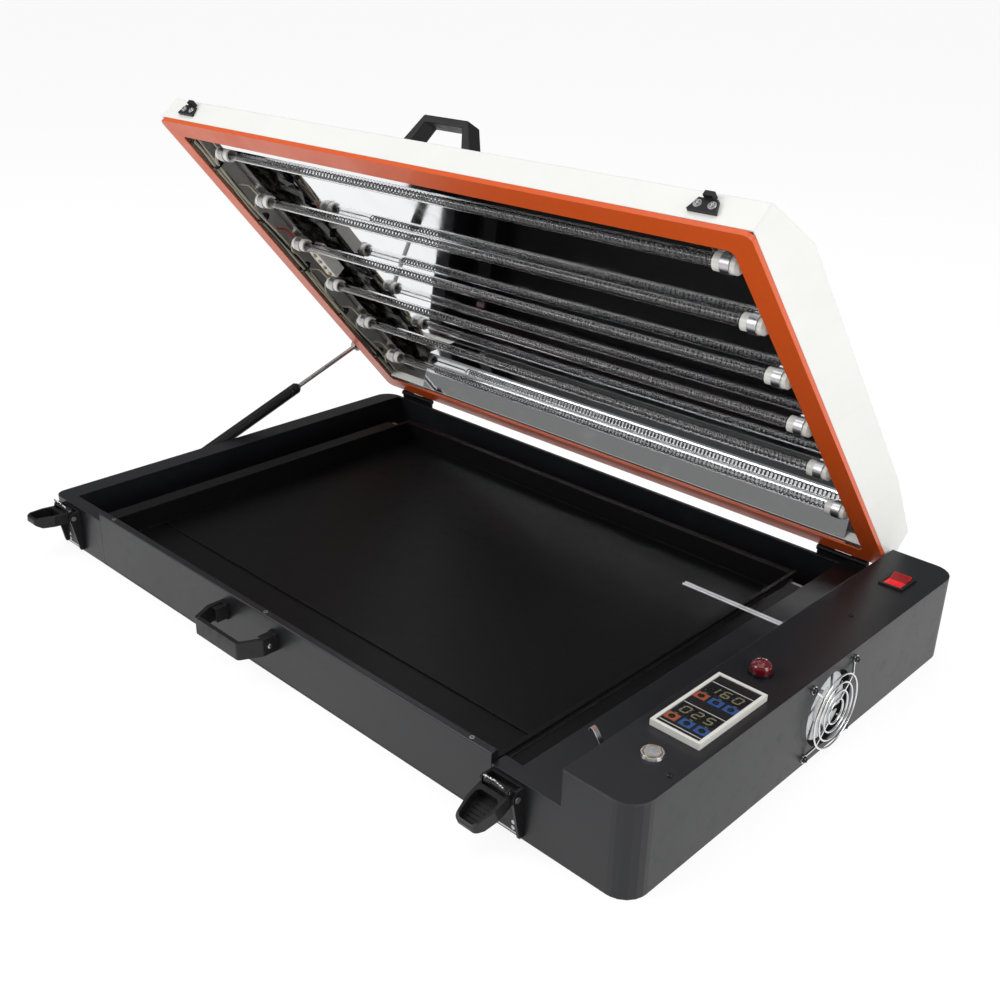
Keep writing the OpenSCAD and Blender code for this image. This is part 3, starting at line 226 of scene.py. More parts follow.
class Finish(Nodes):
    """One material, built from nodes round a Principled shader."""

    def __init__(self, name):
        self.material = bpy.data.materials.new(name)
        self.material.use_nodes = True
        super().__init__(self.material.node_tree)
        self.shader = self.tree.nodes["Principled BSDF"]
        self.place = self.node("ShaderNodeTexCoord", out="Object")

    def noise(self, grain, detail=3.0, rough=0.55, stretch=(1, 1, 1)):
        """Noise whose features are about as large as grain, in millimetres."""
        where = self.node(
            "ShaderNodeVectorMath", {"operation": "MULTIPLY"}, {0: self.place, 1: stretch}
        )
        return self.node(
            "ShaderNodeTexNoise",
            None,
            {"Vector": where, "Scale": 1 / (grain * MM), "Detail": detail, "Roughness": rough},
        )

    def ramp(self, value, *stops):
        """A grey ramp of a value."""
        return self.node("ShaderNodeValToRGB", {"stops": stops}, {0: value})

    def blend(self, share, first, second):
        """A colour between two colours."""
        first, second = [c if isinstance(c, Wire) else (*c, 1) for c in (first, second)]
        return self.node(
            "ShaderNodeMix", {"data_type": "RGBA"}, {0: share, 6: first, 7: second}, out=2
        )

    def edges(self, radius):
        """1 where the surface turns sharply, 0 where it is flat."""
        round_normal = self.node("ShaderNodeBevel", {"samples": 4}, {"Radius": radius * MM})
        flat = self.node("ShaderNodeNewGeometry", out="Normal")
        dot = self.node(
            "ShaderNodeVectorMath", {"operation": "DOT_PRODUCT"}, {0: round_normal, 1: flat}, 1
        )
        return self.ramp(1 - dot, (0.02, 0.0), (0.22, 1.0))

    def bump(self, height, depth, strength=1.0, normal=None):
        """Feeds a height to the shader's normal; depth is in millimetres."""
        inputs = {"Height": height, "Distance": depth * MM, "Strength": strength}
        if normal is not None:
            inputs["Normal"] = normal
        self.join(self.shader.inputs["Normal"], self.node("ShaderNodeBump", None, inputs))

    def soft_edges(self, radius):
        """A normal that rounds the edges."""
        return self.node("ShaderNodeBevel", {"samples": 4}, {"Radius": radius * MM})

    def set(self, **inputs):
        """Sets inputs of the shader; an underscore stands for a space."""
        for key, value in inputs.items():
            if isinstance(value, tuple) and len(value) == 3:
                value = (*value, 1)
            self.join(self.shader.inputs[key.replace("_", " ")], value)
        return self.material


def lighter(colour_value, factor):
    """A colour scaled by a factor and kept within range."""
    return tuple(min(1.0, max(0.0, c * factor)) for c in colour_value)


def powder_coat(name, base, worn, rough=0.5, shine=0.3):
    """Painted sheet steel: a fine grain, dust in the low places and paler worn edges."""
    made = Finish(name)
    grain = made.noise(sizes().grain, 2.0)
    cloud = made.noise(90.0, 4.0)
    dust = made.ramp(made.noise(14.0, 6.0, 0.7), (0.52, 0.0), (0.75, 1.0))
    tone = made.blend(cloud, lighter(base, 0.8), lighter(base, 1.25))
    tone = made.blend(dust * 0.16, tone, lighter(base, 3.0))
    wear = made.edges(sizes().edge) * made.ramp(made.noise(9.0, 5.0), (0.35, 0.1), (0.7, 1.0))
    tone = made.blend(wear * 0.55, tone, worn)
    made.bump(grain, 0.06, 0.6, made.soft_edges(sizes().edge))
    return made.set(
        Base_Color=tone,
        Roughness=rough + 0.12 * (cloud - 0.5) + 0.1 * dust,
        Specular_IOR_Level=shine,
    )


def gloss_paint(name, base, worn, rough=0.3, peel=6.0):
    """Smooth paint with the faint waves of a sprayed coat, smears and worn edges."""
    made = Finish(name)
    waves = made.noise(peel, 2.0)
    smear = made.ramp(made.noise(60.0, 6.0, 0.65, (1, 0.25, 1)), (0.45, 0.0), (0.75, 1.0))
    tone = made.blend(made.noise(150.0, 3.0), lighter(base, 0.95), lighter(base, 1.04))
    tone = made.blend(smear * 0.12, tone, lighter(base, 0.72))
    wear = made.edges(sizes().edge) * made.ramp(made.noise(7.0, 5.0), (0.4, 0.0), (0.7, 1.0))
    tone = made.blend(wear * 0.5, tone, worn)
    made.bump(waves, 0.05, 0.35, made.soft_edges(sizes().edge))
    return made.set(Base_Color=tone, Roughness=rough + 0.18 * smear, Coat_Weight=0.15)


def moulded(name, base, rough=0.42, grain=0.9):
    """Moulded plastic with a fine grain and rubbed edges."""
    made = Finish(name)
    spark = made.noise(grain, 3.0, 0.6)
    rub = made.ramp(made.noise(11.0, 5.0), (0.45, 0.0), (0.7, 1.0))
    tone = made.blend(made.noise(25.0, 3.0), lighter(base, 0.85), lighter(base, 1.2))
    tone = made.blend(made.edges(0.5) * 0.35, tone, lighter(base, 3.2))
    made.bump(spark, 0.04, 0.5, made.soft_edges(0.5))
    return made.set(Base_Color=tone, Roughness=rough + 0.14 * rub, Specular_IOR_Level=0.35)


def bare_metal(name, base, rough=0.28, stretch=(0.06, 1, 1), tint=0.82, ripple=0.02):
    """Metal with fine drawn lines, stains and a brighter edge."""
    made = Finish(name)
    lines = made.noise(0.8, 3.0, 0.6, stretch)
    stain = made.ramp(made.noise(16.0, 6.0, 0.65), (0.45, 0.0), (0.78, 1.0))
    tone = made.blend(lines, lighter(base, tint), lighter(base, 1.1))
    tone = made.blend(stain * 0.35, tone, lighter(base, 0.6))
    made.bump(lines, ripple, 0.5, made.soft_edges(0.35))
    return made.set(Base_Color=tone, Metallic=1.0, Roughness=rough + 0.15 * stain + 0.08 * lines)


def mirror_sheet(name, base):
    """Polished sheet with long shallow waves, fine scratches and smudges."""
    made = Finish(name)
    waves = made.noise(120.0, 1.0, 0.4, (0.5, 1, 1))
    smudge = made.ramp(made.noise(45.0, 6.0, 0.65), (0.48, 0.0), (0.8, 1.0))
    lines = made.noise(0.6, 2.0, 0.5, (0.02, 1, 1))
    tone = made.blend(smudge * 0.25, base, lighter(base, 0.82))
    made.bump(waves, 0.8, 0.4)
    return made.set(
        Base_Color=tone, Metallic=1.0, Roughness=0.025 + 0.1 * smudge + 0.02 * lines
    )


def quartz(name):
    """Clear quartz with a faint haze."""
    made = Finish(name)
    haze = made.ramp(made.noise(20.0, 5.0, 0.6, (0.3, 1, 1)), (0.5, 0.0), (0.8, 1.0))
    tone = made.blend(haze * 0.2, (0.99, 0.99, 1.0), (0.9, 0.91, 0.92))
    return made.set(
        Base_Color=tone, Roughness=0.005 + 0.02 * haze, Transmission_Weight=1.0, IOR=1.3
    )


def glazed(name, base):
    """Glazed ceramic: speckled body under a clear coat."""
    made = Finish(name)
    speck = made.ramp(made.noise(1.2, 3.0, 0.6), (0.62, 0.0), (0.7, 1.0))
    tone = made.blend(made.noise(12.0, 4.0), lighter(base, 0.9), lighter(base, 1.08))
    tone = made.blend(speck * 0.3, tone, lighter(base, 0.5))
    made.bump(made.noise(3.0, 3.0), 0.05, 0.4, made.soft_edges(0.5))
    return made.set(Base_Color=tone, Roughness=0.32 + 0.1 * speck, Coat_Weight=0.3)


def woven(name, base):
    """A braided sleeve: two sets of slanted strands."""
    made = Finish(name)
    one = made.node(
        "ShaderNodeTexWave",
        {"bands_direction": "DIAGONAL"},
        {"Vector": made.place, "Scale": 320.0, "Distortion": 0.6, "Detail": 1.0},
        out="Fac",
    )
    tone = made.blend(one, lighter(base, 0.55), lighter(base, 1.1))
    tone = made.blend(made.noise(6.0, 4.0) * 0.5, tone, lighter(base, 0.7))
    made.bump(one, 0.25, 0.6)
    return made.set(Base_Color=tone, Roughness=0.75 + 0.15 * one, Sheen_Weight=0.2)


def lens(name, base):
    """Deep coloured, part clear plastic."""
    made = Finish(name)
    haze = made.noise(5.0, 3.0)
    tone = made.blend(haze, lighter(base, 0.8), lighter(base, 1.3))
    made.bump(made.noise(1.5, 2.0), 0.03, 0.3)
    return made.set(
        Base_Color=tone, Roughness=0.1 + 0.08 * haze, Transmission_Weight=0.35, Coat_Weight=0.6
    )


def printed(name, base, rough=0.35):
    """Printed film on the controller's face, with faint scuffs."""
    made = Finish(name)
    scuff = made.ramp(made.noise(3.0, 5.0, 0.7), (0.5, 0.0), (0.8, 1.0))
    tone = made.blend(scuff * 0.25, base, lighter(base, 1.9))
    made.bump(made.noise(0.5, 2.0), 0.02, 0.3)
    return made.set(Base_Color=tone, Roughness=rough + 0.2 * scuff)


FINISHES = {}


def make_finishes():
    """All materials, by the names that the pieces use."""
    hue = colours()
    pick = {key: tuple(getattr(hue, key)) for key in OvenColours.__annotations__}
    grey = lighter(pick["steel"], 0.35)
    recipes = {
        "charcoal_steel": (powder_coat, pick["charcoal"], grey, 0.36, 0.42),
        "black_steel": (powder_coat, pick["black"], lighter(grey, 0.5), 0.42, 0.16),
        "black_plastic": (moulded, pick["plastic"], 0.4),
        "white_paint": (gloss_paint, pick["white"], lighter(pick["white"], 0.7), 0.38),
        "orange_paint": (gloss_paint, pick["orange"], (0.9, 0.32, 0.12), 0.34),
        "mirror_sheet": (mirror_sheet, pick["mirror"]),
        "bright_steel": (bare_metal, pick["steel"]),
        "chrome": (bare_metal, pick["chrome"], 0.12, (1, 1, 1), 0.92, 0.008),
        "quartz": (quartz,),
        "filament_wire": (bare_metal, pick["wire"], 0.45, (1, 1, 1)),
        "ceramic": (glazed, pick["ceramic"]),
        "loom": (woven, pick["sleeve"]),
        "red_lens": (lens, pick["lens"]),
        "red_plastic": (moulded, pick["rocker"], 0.25),
        "warm_pocket": (printed, pick["pocket"]),
        "blue_pocket": (printed, pick["pocket_blue"]),
        "face_film": (printed, lighter(pick["plastic"], 0.9), 0.22),
        "segments": (printed, pick["digit"]),
        "fan_plastic": (moulded, pick["fan"], 0.4),
        "pale_bezel": (gloss_paint, pick["bezel"], lighter(pick["bezel"], 1.4), 0.3),
        "dull_foil": (bare_metal, pick["foil"], 0.22, (1, 1, 1), 0.6, 0.2),
        # A darker copy of the rocker's red, used as painted shade on the rocker's rear half.
        "shade_red": (printed, lighter(pick["rocker"], 0.28), 0.2),
        "brass": (bare_metal, pick["brass"], 0.3),
        "red_sleeve": (woven, pick["red"]),
        # Dark plastic for the unlit segments and the lamp's grips, and painted shade in the
        # screws' crosses, the terminal slots and the block's holes.
        "dark_recess": (moulded, lighter(pick["plastic"], 0.5), 0.7),
    }
    for name, (recipe, *values) in recipes.items():
        FINISHES[name] = recipe(name, *values)


# Mesh helpers. A part is a list of points and a list of faces, in millimetres.
def link(thing):
    """Puts an object into the scene."""
    bpy.context.scene.collection.objects.link(thing)


def piece(name, parts, body, slot, finish=None, place=HOME, smooth=False, stands_for=()):
    """A mesh object made of parts, in the row frame, that rides on a body."""
    verts, faces = join_parts(parts)
    mesh = bpy.data.meshes.new(name)
    mesh.from_pydata([tuple(v) for v in verts], [], faces)
    mesh.transform(place)
    shape = bmesh.new()
    shape.from_mesh(mesh)
    bmesh.ops.recalc_face_normals(shape, faces=shape.faces)
    shape.to_mesh(mesh)
    shape.free()
    if smooth:
        mesh.shade_smooth()
        mesh.set_sharp_from_angle(angle=radians(40))
    made = bpy.data.objects.new(name, mesh)
    link(made)
    mesh.materials.append(FINISHES[finish or slot])
    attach(made, body)
    if stands_for:
        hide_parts(*stands_for)
    return made


def join_parts(parts):
    """Several parts as one."""
    verts, faces = [], []
    for more_verts, more_faces in parts:
        first = len(verts)
        verts.extend(more_verts)
        faces.extend([[i + first for i in face] for face in more_faces])
    return verts, faces


def moved(part, matrix):
    """A part with its points moved."""
    return [matrix @ Vector(v) for v in part[0]], part[1]


def skin(count, sides):
    """The faces of a row of rings, closed at both ends."""
    faces = []
    for i in range(count - 1):
        for k in range(sides):
            a, b = i * sides + k, i * sides + (k + 1) % sides
            faces.append([a, b, b + sides, a + sides])
    faces.append(list(range(sides))[::-1])
    faces.append([(count - 1) * sides + k for k in range(sides)])
    return faces


def tube(path, radius, sides=8):
    """A round bar along points, closed at both ends."""
    points = [Vector(p) for p in path]
    count = len(points)
    verts = []
    side = None
    for i, point in enumerate(points):
        ahead = (points[min(i + 1, count - 1)] - points[max(i - 1, 0)]).normalized()
        if side is None:
            side = ahead.orthogonal().normalized()
        else:
            side = (side - ahead * side.dot(ahead)).normalized()
        other = ahead.cross(side)
        for k in range(sides):
            turn = tau * k / sides
            verts.append(point + (side * cos(turn) + other * sin(turn)) * radius)
    return verts, skin(count, sides)


def lathe(profile, sides=32):
    """A solid turned about z from pairs of radius and height, closed at both ends."""
    verts = []
    for radius, height in profile:
        for k in range(sides):
            turn = tau * k / sides
            verts.append(Vector((radius * cos(turn), radius * sin(turn), height)))
    return verts, skin(len(profile), sides)


def plate(outline, low, high, ease=0.0, steps=2):
    """An outline in x and y raised from low to high, with its edges eased."""
    shape = bmesh.new()
    bottom = [shape.verts.new((x, y, low)) for x, y in outline]
    face = shape.faces.new(bottom)
    raised = bmesh.ops.extrude_face_region(shape, geom=[face])["geom"]
    top = [v for v in raised if isinstance(v, bmesh.types.BMVert)]
    bmesh.ops.translate(shape, verts=top, vec=(0, 0, high - low))
    bmesh.ops.recalc_face_normals(shape, faces=shape.faces)
    if ease:
        bmesh.ops.bevel(
            shape,
            geom=shape.edges[:],
            offset=ease,
            segments=steps,
            affect="EDGES",
            profile=0.5,
            clamp_overlap=True,
        )
    shape.verts.index_update()
    verts = [v.co.copy() for v in shape.verts]
    faces = [[v.index for v in f.verts] for f in shape.faces]
    shape.free()
    return verts, faces


def rectangle(width, depth, x=0.0, y=0.0):
    """The corners of a rectangle round a point."""
    half_w, half_d = width / 2, depth / 2
    corners = ((-half_w, -half_d), (half_w, -half_d), (half_w, half_d), (-half_w, half_d))
    return [(x + a, y + b) for a, b in corners]


def holed(width, depth, hole, low, high, sides=32):
    """A flat block round a hole, with its corners eased."""
    verts, faces = [], []
    for inner, height in ((False, low), (False, high), (True, high), (True, low)):
        for k in range(sides):
            turn = tau * (k + 0.5) / sides
            reach = hole
            if not inner:
                reach = min(width / 2 / abs(cos(turn)), depth / 2 / abs(sin(turn)))
            verts.append(Vector((reach * cos(turn), reach * sin(turn), height)))
    for i in range(4):
        for k in range(sides):
            a, b = i * sides + k, i * sides + (k + 1) % sides
            c, d = (a + sides) % (4 * sides), (b + sides) % (4 * sides)
            faces.append([a, b, d, c])
    return verts, faces


def cross(radius, low, high):
    """The cross recess of a screw, as two crossing bars that rise just above the head, coloured
    dark by the callers as painted shade of the recess.
    """
    bars = [rectangle(radius * 1.3, radius * 0.3), rectangle(radius * 0.3, radius * 1.3)]
    return join_parts([plate(bar, low, high) for bar in bars])


def hexagon(radius, low, high):
    """A hexagonal nut or bolt head with its upper edge eased."""
    return lathe([(radius, low), (radius, high - radius / 6), (radius * 0.85, high)], 6)


def wave(points, steps=6):
    """A smooth path through points, for wires."""
    spots = [Vector(p) for p in points]
    spots = [spots[0], *spots, spots[-1]]
    path = []
    for i in range(1, len(spots) - 2):
        a, b, c, d = spots[i - 1 : i + 3]
        for k in range(steps):
            t = k / steps
            bend = (2 * a - 5 * b + 4 * c - d) * t**2 + (3 * b - a - 3 * c + d) * t**3
            path.append(0.5 * (2 * b + (c - a) * t + bend))
    path.append(spots[-2])
    return path


def put(part, point, angle=0.0, axis="X"):
    """A part turned about an axis and moved to a point, in millimetres."""
    return moved(part, Matrix.Translation(point) @ spin(angle, axis))


def islands(node):
    """The middle and size of each solid of a node, in millimetres of the row frame."""
    mesh = NODES[node].data
    shape = bmesh.new()
    shape.from_mesh(mesh)
    bmesh.ops.remove_doubles(shape, verts=shape.verts, dist=1e-6)
    seen, found = set(), []
    for start in shape.verts:
        if start.index in seen or not start.link_edges:
            continue
        group, todo = [], [start]
        seen.add(start.index)
        while todo:
            vert = todo.pop()
            group.append(vert.co.copy())
            for edge in vert.link_edges:
                other = edge.other_vert(vert)
                if other.index not in seen:
                    seen.add(other.index)
                    todo.append(other)
        low = Vector([min(p[k] for p in group) for k in range(3)]) / MM
        high = Vector([max(p[k] for p in group) for k in range(3)]) / MM
        found.append(((low + high) / 2, high - low))
    shape.free()
    return found


def hoop(profile, sides):
    """A ring turned about z that is open below, where it sits on a face."""
    verts, faces = lathe(profile, sides)
    return verts, [face for face in faces if len(face) == 4]


def tube_rows():
    """The middles of the six tubes, from the lid's front."""
    s = sizes()
    return [s.first_tube + s.tube_pitch * i for i in range(6)]


class OvenStage(bpy.types.Operator):
    """Adds the pale floor, soft light and the camera"""

    bl_idname = "oven.stage"
    bl_label = "Stage"

    # Each lamp's name, place, aim, width and power, in metres and watts.
    LAMPS = (
        ("overhead_soft", (0.1, -0.2, 2.6), (0, 0, 0), 2.6, 25),
        ("front_soft", (-1.6, -2.4, 1.7), (0, 0, 0.15), 1.8, 40),
        ("side_soft", (2.6, 0.1, 1.1), (0, 0, 0.15), 1.5, 26),
    )
    FLOOR_REACH = 80.0
    FLOOR_GLOW = 1.08
    # The camera: angles in degrees, focal length and frame in points, place in millimetres.
    AZIMUTH, RISE, ROLL = 43.282, 24.865, 1.407
    FOCAL, FRAME = 1192.89, 1000
    EYE = (1250.43, -564.84, 647.86)

    def execute(self, context):
        self.floor()
        self.world(context)
        for lamp in self.LAMPS:
            self.lamp(*lamp)
        self.camera(context)
        context.scene.view_settings.view_transform = "Standard"
        return {"FINISHED"}

    def floor(self):
        """A wide pale floor that keeps the shadow and looks nearly white."""
        made = Finish("pale_floor")
        seen, through, gloss = made.rays()
        tone = made.blend(made.noise(400.0, 2.0), (0.9, 0.9, 0.9), (0.92, 0.92, 0.92))
        made.set(Base_Color=tone, Roughness=0.9)
        glow = made.node("ShaderNodeEmission", None, {"Strength": self.FLOOR_GLOW})
        own = Wire(made, made.shader.outputs[0])
        share = made.node(
            "ShaderNodeMath", {"operation": "MINIMUM"}, {0: seen + gloss + through, 1: 1.0}
        )
        both = made.node("ShaderNodeMixShader", None, {0: share * 0.8, 1: own, 2: glow})
        made.join(made.tree.nodes["Material Output"].inputs["Surface"], both)
        mesh = bpy.data.meshes.new("floor")
        corners = rectangle(2 * self.FLOOR_REACH, 2 * self.FLOOR_REACH)
        mesh.from_pydata([(x, y, 0) for x, y in corners], [], [[0, 1, 2, 3]])
        mesh.materials.append(made.material)
        ground = bpy.data.objects.new("floor", mesh)
        ground.location.z = -0.0004
        link(ground)

    def world(self, context):
        """White to the camera and to glass, dimmer in reflections, plain light for the rest."""
        sky = bpy.data.worlds.new("sky")
        context.scene.world = sky
        sky.use_nodes = True
        made = Nodes(sky.node_tree)
        back = sky.node_tree.nodes["Background"]
        made.join(back.inputs["Color"], (1, 1, 1, 1))
        seen, through, gloss = made.rays()
        made.join(back.inputs["Strength"], 0.5 + 0.5 * seen + 0.5 * through - 0.3 * gloss)

    def lamp(self, name, place, aim, width, power):
        """A square soft light that looks at a point."""
        data = bpy.data.lights.new(name, "AREA")
        data.size = width
        data.energy = power
        lamp = bpy.data.objects.new(name, data)
        lamp.location = place
        lamp.rotation_euler = (Vector(aim) - Vector(place)).to_track_quat("-Z", "Y").to_euler()
        link(lamp)

    def camera(self, context):
        """The photograph's angle, for a square frame."""
        azimuth, rise, roll = radians(self.AZIMUTH), radians(self.RISE), radians(self.ROLL)
        ahead = Vector((-sin(azimuth) * cos(rise), cos(azimuth) * cos(rise), -sin(rise)))
        right = ahead.cross(Vector((0, 0, 1))).normalized()
        up = right.cross(ahead)
        turned = right * cos(roll) + up * sin(roll)
        top = up * cos(roll) - right * sin(roll)
        data = bpy.data.cameras.new("camera")
        data.sensor_width = 36.0
        data.lens = self.FOCAL * data.sensor_width / self.FRAME
        data.clip_end = 300
        eye = bpy.data.objects.new("camera", data)
        turn = Matrix((turned, top, -ahead)).transposed()
        eye.matrix_world = Matrix.Translation(at(*self.EYE)) @ turn.to_4x4()
        link(eye)
        context.scene.camera = eye


class OvenFinishes(bpy.types.Operator):
    """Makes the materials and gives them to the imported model's nodes"""

    bl_idname = "oven.finishes"
    bl_label = "Finishes"

    SPECIAL = {
        "fan_rotor": "fan_plastic",
        "controller_bezel": "pale_bezel",
        "panel_screws": "face_film",
        "lamp_collar": "face_film",
    }

    def execute(self, context):
        make_finishes()
        for name, node in NODES.items():
            slot = self.slot_of(name)
            finish = FINISHES[self.SPECIAL.get(name, slot)]
            if not node.material_slots:
                node.data.materials.append(finish)
            for holder in node.material_slots:
                holder.material = finish
        return {"FINISHED"}

    def slot_of(self, name):
        """The record's material slot of a node."""
        for entry in frame["record"]["subparts"]:
            if entry["node"] == name:
                return entry["material_slot"]
        raise RuntimeError(f"no material slot for {name}")


class OvenCoils(bpy.types.Operator):
    """Winds the dense heating coils inside the quartz tubes"""

    bl_idname = "oven.coils"
    bl_label = "Heating coils"

    STEPS = 8
    # Where the straight tail of a coil starts and ends, before its first turn.
    TAIL = (76, 8)

    def execute(self, context):
        s = sizes()
        turns = round((s.coil_end - s.coil_start) / s.coil_pitch)
        parts = []
        for y in tube_rows():
            path = [(s.coil_start - back, y, s.tube_height) for back in self.TAIL]
            for i in range(turns * self.STEPS + 1):
                turn = tau * i / self.STEPS
                x = s.coil_start + s.coil_pitch * i / self.STEPS
                aside, above = s.coil_radius * cos(turn), s.coil_radius * sin(turn)
                path.append((x, y + aside, s.tube_height + above))
            parts.append(tube(path, s.coil_wire, 4))
        piece("heating_coils", parts, "lid", "filament_wire", None, LID, True, ["filaments"])
        return {"FINISHED"}


class OvenLidWiring(bpy.types.Operator):
    """Lays the leads, sleeves and studs at the ends of the tubes"""

    bl_idname = "oven.lid_wiring"
    bl_label = "Lid wiring"

    # Lines of the studs on the two bars, and their step beside a tube.
    STUD_LINES = (48, 754)
    STUD_STEP = 13
    BAR_TOP = 22
    BLOCK_LENGTH = 46

    def execute(self, context):
        rows = tube_rows()
        self.liner()
        self.strands()
        self.leads(rows)
        self.studs(rows)
        self.terminals(rows[2] + (sizes().tube_pitch - self.BLOCK_LENGTH) / 2)
        self.right_end(rows)
        return {"FINISHED"}

    def liner(self):
        """A creased dark sheet behind the left tube ends."""
        wide, long, thick = 9, 64, 0.8
        row, layer = wide + 1, (wide + 1) * (long + 1)
        verts, faces = [], []
        for low in (0, thick):
            for i in range(long + 1):
                for k in range(wide + 1):
                    crease = 2.4 * sin(0.9 * i + 0.7 * k) + 1.6 * sin(2.3 * i - 1.9 * k)
                    crease += 1.2 * sin(0.37 * i * k)
                    verts.append((4 + 86 * k / wide, 30 + 458 * i / long, 40 + crease + low))
        for i in range(long):
            for k in range(wide):
                a = i * row + k
                for first in (a, a + layer):
                    faces.append([first, first + 1, first + row + 1, first + row])
        rim = list(range(row)) + [i * row + wide for i in range(1, long + 1)]
        rim += [long * row + k for k in range(wide - 1, -1, -1)]
        rim += [i * row for i in range(long - 1, 0, -1)]
        for i, a in enumerate(rim):
            b = rim[(i + 1) % len(rim)]
            faces.append([a, b, b + layer, a + layer])
        piece("creased_liner", [(verts, faces)], "lid", "mirror_sheet", "dull_foil", LID)

    def strands(self):
        """Five wires that lie side by side along the left wall, and their ties."""
        left, apart, radius, dark_one = 23, 2.6, 1.5, 3
        pale, dark = [], []
        for k in range(5):
            points = []
            for i in range(12):
                turn = 0.9 * i + 1.3 * k
                x = left + apart * k + 2.2 * sin(turn)
                points.append((x, 34 + 41 * i, 7 + 2.4 * cos(turn * 1.3)))
            (dark if k == dark_one else pale).append(tube(wave(points), radius, 7))
        piece("loom_strands", pale, "lid", "loom", None, LID, True)
        piece("loom_dark_strand", dark, "lid", "black_plastic", None, LID, True)
        tie = lathe([(7.4, -1.4), (8, -0.7), (8, 0.7), (7.4, 1.4)], 18)
        ties = [put(tie, (27, 75 + 92 * i, 9), 90) for i in range(5)]
        piece("loom_ties", ties, "lid", "ceramic", "face_film", LID, True)

    def leads(self, rows):
        """Two sleeved leads from every left cap to the loom, one of them red."""
        pale, red = [], []
        for i, y in enumerate(rows):
            points = [(50, y, 12), (45, y - 1, 11), (39, y + 6, 8)]
            points += [(33, y + 17, 7), (29, y + 30, 9)]
            pale.append(tube(wave(points), 1.7, 7))
            points = [(50, y + 3, 14), (43, y - 8, 16), (37, y - 16, 17), (30, y - 22, 12)]
            (red if i == 2 else pale).append(tube(wave(points), 1.3, 7))
        piece("cap_leads", pale, "lid", "loom", None, LID, True)
        piece("red_lead", red, "lid", "loom", "red_sleeve", LID, True)

    def studs(self, rows):
        """Nuts, washers and studs on both bars."""
        nut = hexagon(3, 0.6, 3)
        washer = lathe([(4, 0), (4, 0.6), (3.4, 0.7)], 20)
        stud = lathe([(1.4, 0), (1.4, 5), (1, 5.4)], 10)
        spots = [
            (x, y + step, self.BAR_TOP)
            for x in self.STUD_LINES
            for y in rows
            for step in (-self.STUD_STEP, self.STUD_STEP)
        ]
        nuts, washers, brass = [
            [put(part, spot, 180) for spot in spots] for part in (nut, washer, stud)
        ]
        piece("bar_nuts", nuts, "lid", "bright_steel", None, LID)
        piece("bar_washers", washers, "lid", "chrome", None, LID, True)
        piece("bar_studs", brass, "lid", "bright_steel", "brass", LID, True)

    def terminals(self, first):
        """The screws of the terminal block, and the red link that leaves it."""
        top = lathe([(2.4, 0), (2.4, 1.6), (1.8, 2)], 18)
        # Each slot is a dark bar on a screw's top: painted shade of the slot.
        slot = plate(rectangle(3.4, 0.6), 1.6, 2.05)
        spots = [(66.2, first + self.BLOCK_LENGTH * (k + 0.5) / 4, 14) for k in range(4)]
        tops = [put(top, spot, 180) for spot in spots]
        slots = [put(slot, spot, 180) for spot in spots]
        piece("terminal_screws", tops, "lid", "ceramic", "brass", LID, True)
        piece("terminal_slots", slots, "lid", "ceramic", "dark_recess", LID)
        link = [(60, first - 2, 16), (56, first - 9, 11), (50, first - 12, 9), (42, first - 4, 10)]
        piece("red_link", [tube(wave(link), 1.8, 7)], "lid", "loom", "red_sleeve", LID, True)

    def right_end(self, rows):
        """The pierced ceramic block, its holes drawn as thin dark discs of painted shade, and the
        wires beside the right bar.
        """
        middle = rows[2] + 30
        block = plate(rectangle(13, 32, 763, middle), 8, 21, 1.2)
        piece("pierced_block", [block], "lid", "ceramic", None, LID)
        # Thin dark discs on the block's face: painted shade of its holes.
        hole = lathe([(1.5, 0), (1.5, 0.1)], 14)
        holes = [
            put(hole, (760 + 6 * i, middle - 12 + 6 * k, 8.04), 180)
            for i in range(2)
            for k in range(5)
        ]
        piece("block_holes", holes, "lid", "ceramic", "dark_recess", LID)
        wires = []
        for k in range(3):
            points = []
            for i in range(10):
                turn = 1.1 * i + 2 * k
                points.append((768 + 2.5 * k + 1.2 * sin(turn), 40 + 48 * i, 9 + 2 * cos(turn)))
            wires.append(tube(wave(points), 1.3, 7))
        for y in rows:
            points = [(752, y, 12), (758, y + 2, 11), (764, y + 9, 9), (769, y + 18, 9)]
            wires.append(tube(wave(points), 1.5, 7))
        piece("right_wires", wires, "lid", "loom", None, LID, True)


